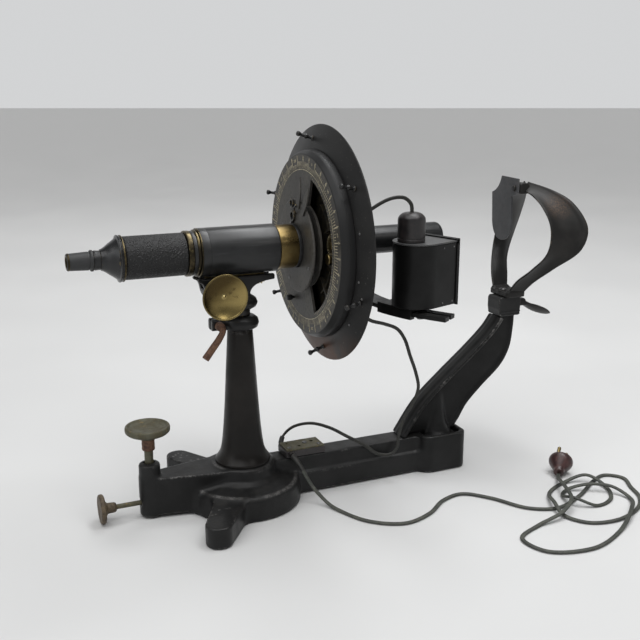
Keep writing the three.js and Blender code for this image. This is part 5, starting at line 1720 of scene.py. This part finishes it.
def twin_section(width):
    """Two round cores side by side under one skin."""
    radius = 0.30 * width
    right = arc(radius, -140, 140, 14, (0.5 * width - radius, 0))
    left = arc(radius, 40, 320, 14, (radius - 0.5 * width, 0))
    return right + left


def mains_plug(paint, pin_paint):
    body = [
        (0, 1.1), (5.4, 1.1), (6.4, 1.8), (6.8, 3), (7, 7), (9, 9.6), (12, 14), (14.6, 18.4), (15.4, 20.6),
        (15.5, 24), (14.6, 26), (12, 26), (11.6, 25.6), (0, 25.6),
    ]
    rise = math.radians(22)
    ahead = (math.cos(rise) / math.sqrt(2), math.cos(rise) / math.sqrt(2), math.sin(rise))
    turn = np.array(Vector((0, 0, 1)).rotation_difference(Vector(ahead)).to_matrix())

    def placed(form):
        return Form(form.points @ turn.T + MAINS_ROUTE[-1], form.faces)

    shell = stand_in("mains_plug", placed(lathe(rounded(body, 0.7), "Z", 96)), paint)
    pin = lathe(rounded([(0, 25), (2.4, 25), (2.4, 42.4), (1.4, 44), (0, 44)], 0.4), "Z", 28)
    pins = piece("plug_pins", placed(pin.moved(-6.5) + pin.moved(6.5)), pin_paint, "base")
    return shell, pins


def relief(name, line, material, thick):
    """Tapered rubber sleeve round the first stretch of a lead."""
    along = np.concatenate([[0], np.cumsum(np.linalg.norm(np.diff(line, axis=0), axis=1))])
    sizes = np.interp(along, [0, 2, 18, 22], [1.0, 1.0, 0.80, 0.74])
    form = swept(line, round_section(thick), (0, 0, 1), sizes)
    return piece(name, form, material, "base")


LYING_FLAT = 1.3  # the flat lead lies this much lower than the CAD's round one
LIFTED = 12.0  # height from which it is no lower than the CAD's


def lead(node, route, width, count, material, up):
    """A twin lead along a route, lowered onto the table where it lies there."""
    line = smooth_line(route, count)
    section = np.array(twin_section(width))
    form = swept(line, section, up)
    if node == "mains_lead":
        low = np.clip((LIFTED - line[:, 2]) / 9, 0, 1) * LYING_FLAT
        form.points[:, 2] -= np.repeat(low, len(section))
        line = line - np.stack([0 * low, 0 * low, low], axis=1)
    return stand_in(node, form, material, 60), line


def make_leads(paints):
    plug_shell, plug_pins = mains_plug(paints["plug"], paints["fittings"])
    mains, mains_line = lead("mains_lead", MAINS_ROUTE, 5.0, 900, paints["flex"], (0, 0, 1))
    sleeve_piece = relief("mains_relief", mains_line[:RELIEF_POINTS], paints["relief"], 3.5)
    lamp, lamp_line = lead("lamp_lead", LAMP_ROUTE, 4.4, 380, paints["lamp_flex"], (0, 1, 0.3))
    wrapping = relief("lamp_relief", lamp_line[1:WRAP_POINTS], paints["relief"], 3.4)


# ---------- camera, floor and light, in metres ----------
CAMERA_PLACE = (-0.3230, -0.9722, 0.4924)
CAMERA_YAW = -23.65
CAMERA_PITCH = 14.628
CAMERA_LENS = 50.584
FLOOR_HALF = 40
FLOOR_Z = -0.0004  # just under the feet, so that the two faces don't fight
# name, place, point it faces, size, power and colour
SOFT_LIGHTS = (
    ("above", (0.75, 0.1, 2.1), (0.1, 0, 0.2), (2.2, 0.6), 32, (0.98, 0.99, 1.0)),
    ("window_left", (-2.3, -0.5, 1.3), (0.1, 0, 0.25), (0.9, 1.4), 7, (0.95, 0.98, 1.0)),
    ("front", (1.0, -1.8, 1.75), (0, 0, 0.25), (0.6, 0.6), 3, (1.0, 0.98, 0.95)),
    ("behind", (0.4, 2.3, 1.5), (0.1, 0, 0.25), (2.8, 1.2), 5, (1.0, 1.0, 1.0)),
)
DAYLIGHT = 2.0
DAYLIGHT_SPREAD = 64
DAYLIGHT_TILT = (14, -18, 0)
SKY_COLOUR = (0.90, 0.91, 0.92, 1)
SKY_HAZE = (0.10, 0.34)  # height over which the sky goes from its low strength to its high one
SKY_STRENGTH = (0.72, 0.17)


def make_camera():
    yaw, pitch = math.radians(CAMERA_YAW), math.radians(CAMERA_PITCH)
    back = Vector((math.sin(yaw) * math.cos(pitch), -math.cos(yaw) * math.cos(pitch), math.sin(pitch)))
    right = Vector((math.cos(yaw), math.sin(yaw), 0))
    up = back.cross(right)
    data = bpy.data.cameras.new("camera")
    data.lens = CAMERA_LENS
    data.sensor_width = 36
    data.clip_end = 20
    camera = shown("camera", data)
    camera.matrix_world = Matrix((right, up, back)).transposed().to_4x4()
    camera.location = CAMERA_PLACE
    bpy.context.scene.camera = camera


def floor_paint():
    """Pale matt floor with the faintest clouding."""
    paint = Paint("floor_paint")
    clouds = paint.noise(3, 3, 0.5)
    paint.set(Base_Color=paint.mix(clouds, (0.55, 0.55, 0.548), (0.60, 0.60, 0.595)))
    paint.set(Roughness=paint.span(clouds, 0.3, 0.7, 0.55, 0.65))
    return paint.material


def make_floor():
    """Plain pale floor that reaches the horizon."""
    shell = bmesh.new()
    bmesh.ops.create_grid(shell, x_segments=24, y_segments=24, size=FLOOR_HALF)
    mesh = bpy.data.meshes.new("floor")
    shell.to_mesh(mesh)
    shell.free()
    mesh.materials.append(floor_paint())
    floor = shown("floor", mesh)
    floor.location = (0, 0, FLOOR_Z)


def soft_light(name, place, target, size, power, colour):
    data = bpy.data.lights.new(name, "AREA")
    data.shape = "RECTANGLE"
    data.size, data.size_y = size
    data.energy = power
    data.color = colour
    light = shown(name, data)
    light.location = place
    light.rotation_euler = (Vector(target) - Vector(place)).to_track_quat("-Z", "Y").to_euler()


def make_light():
    """Soft boxes and a broad daylight."""
    for light in SOFT_LIGHTS:
        soft_light(*light)
    sun = bpy.data.lights.new("daylight", "SUN")
    sun.energy = DAYLIGHT
    sun.angle = math.radians(DAYLIGHT_SPREAD)
    shown("daylight", sun).rotation_euler = [math.radians(tilt) for tilt in DAYLIGHT_TILT]


def make_sky():
    """Pale wall behind the table, dimmer overhead."""
    world = bpy.data.worlds.new("studio")
    world.use_nodes = True
    nodes, links = world.node_tree.nodes, world.node_tree.links
    parts = nodes.new("ShaderNodeSeparateXYZ")
    links.new(nodes.new("ShaderNodeTexCoord").outputs["Generated"], parts.inputs[0])
    glow = nodes.new("ShaderNodeMapRange")
    glow.inputs["From Min"].default_value, glow.inputs["From Max"].default_value = SKY_HAZE
    glow.inputs["To Min"].default_value, glow.inputs["To Max"].default_value = SKY_STRENGTH
    links.new(parts.outputs["Z"], glow.inputs["Value"])
    links.new(glow.outputs[0], nodes["Background"].inputs["Strength"])
    nodes["Background"].inputs["Color"].default_value = SKY_COLOUR
    bpy.context.scene.world = world
    bpy.context.scene.view_settings.view_transform = "Standard"


make_camera()
PAINTS = make_materials()
make_leads(PAINTS)
make_stand(PAINTS)
make_telescope(PAINTS)
make_disc(PAINTS)
make_lamp(PAINTS)
make_face_rest(PAINTS)
make_floor()
make_light()
make_sky()
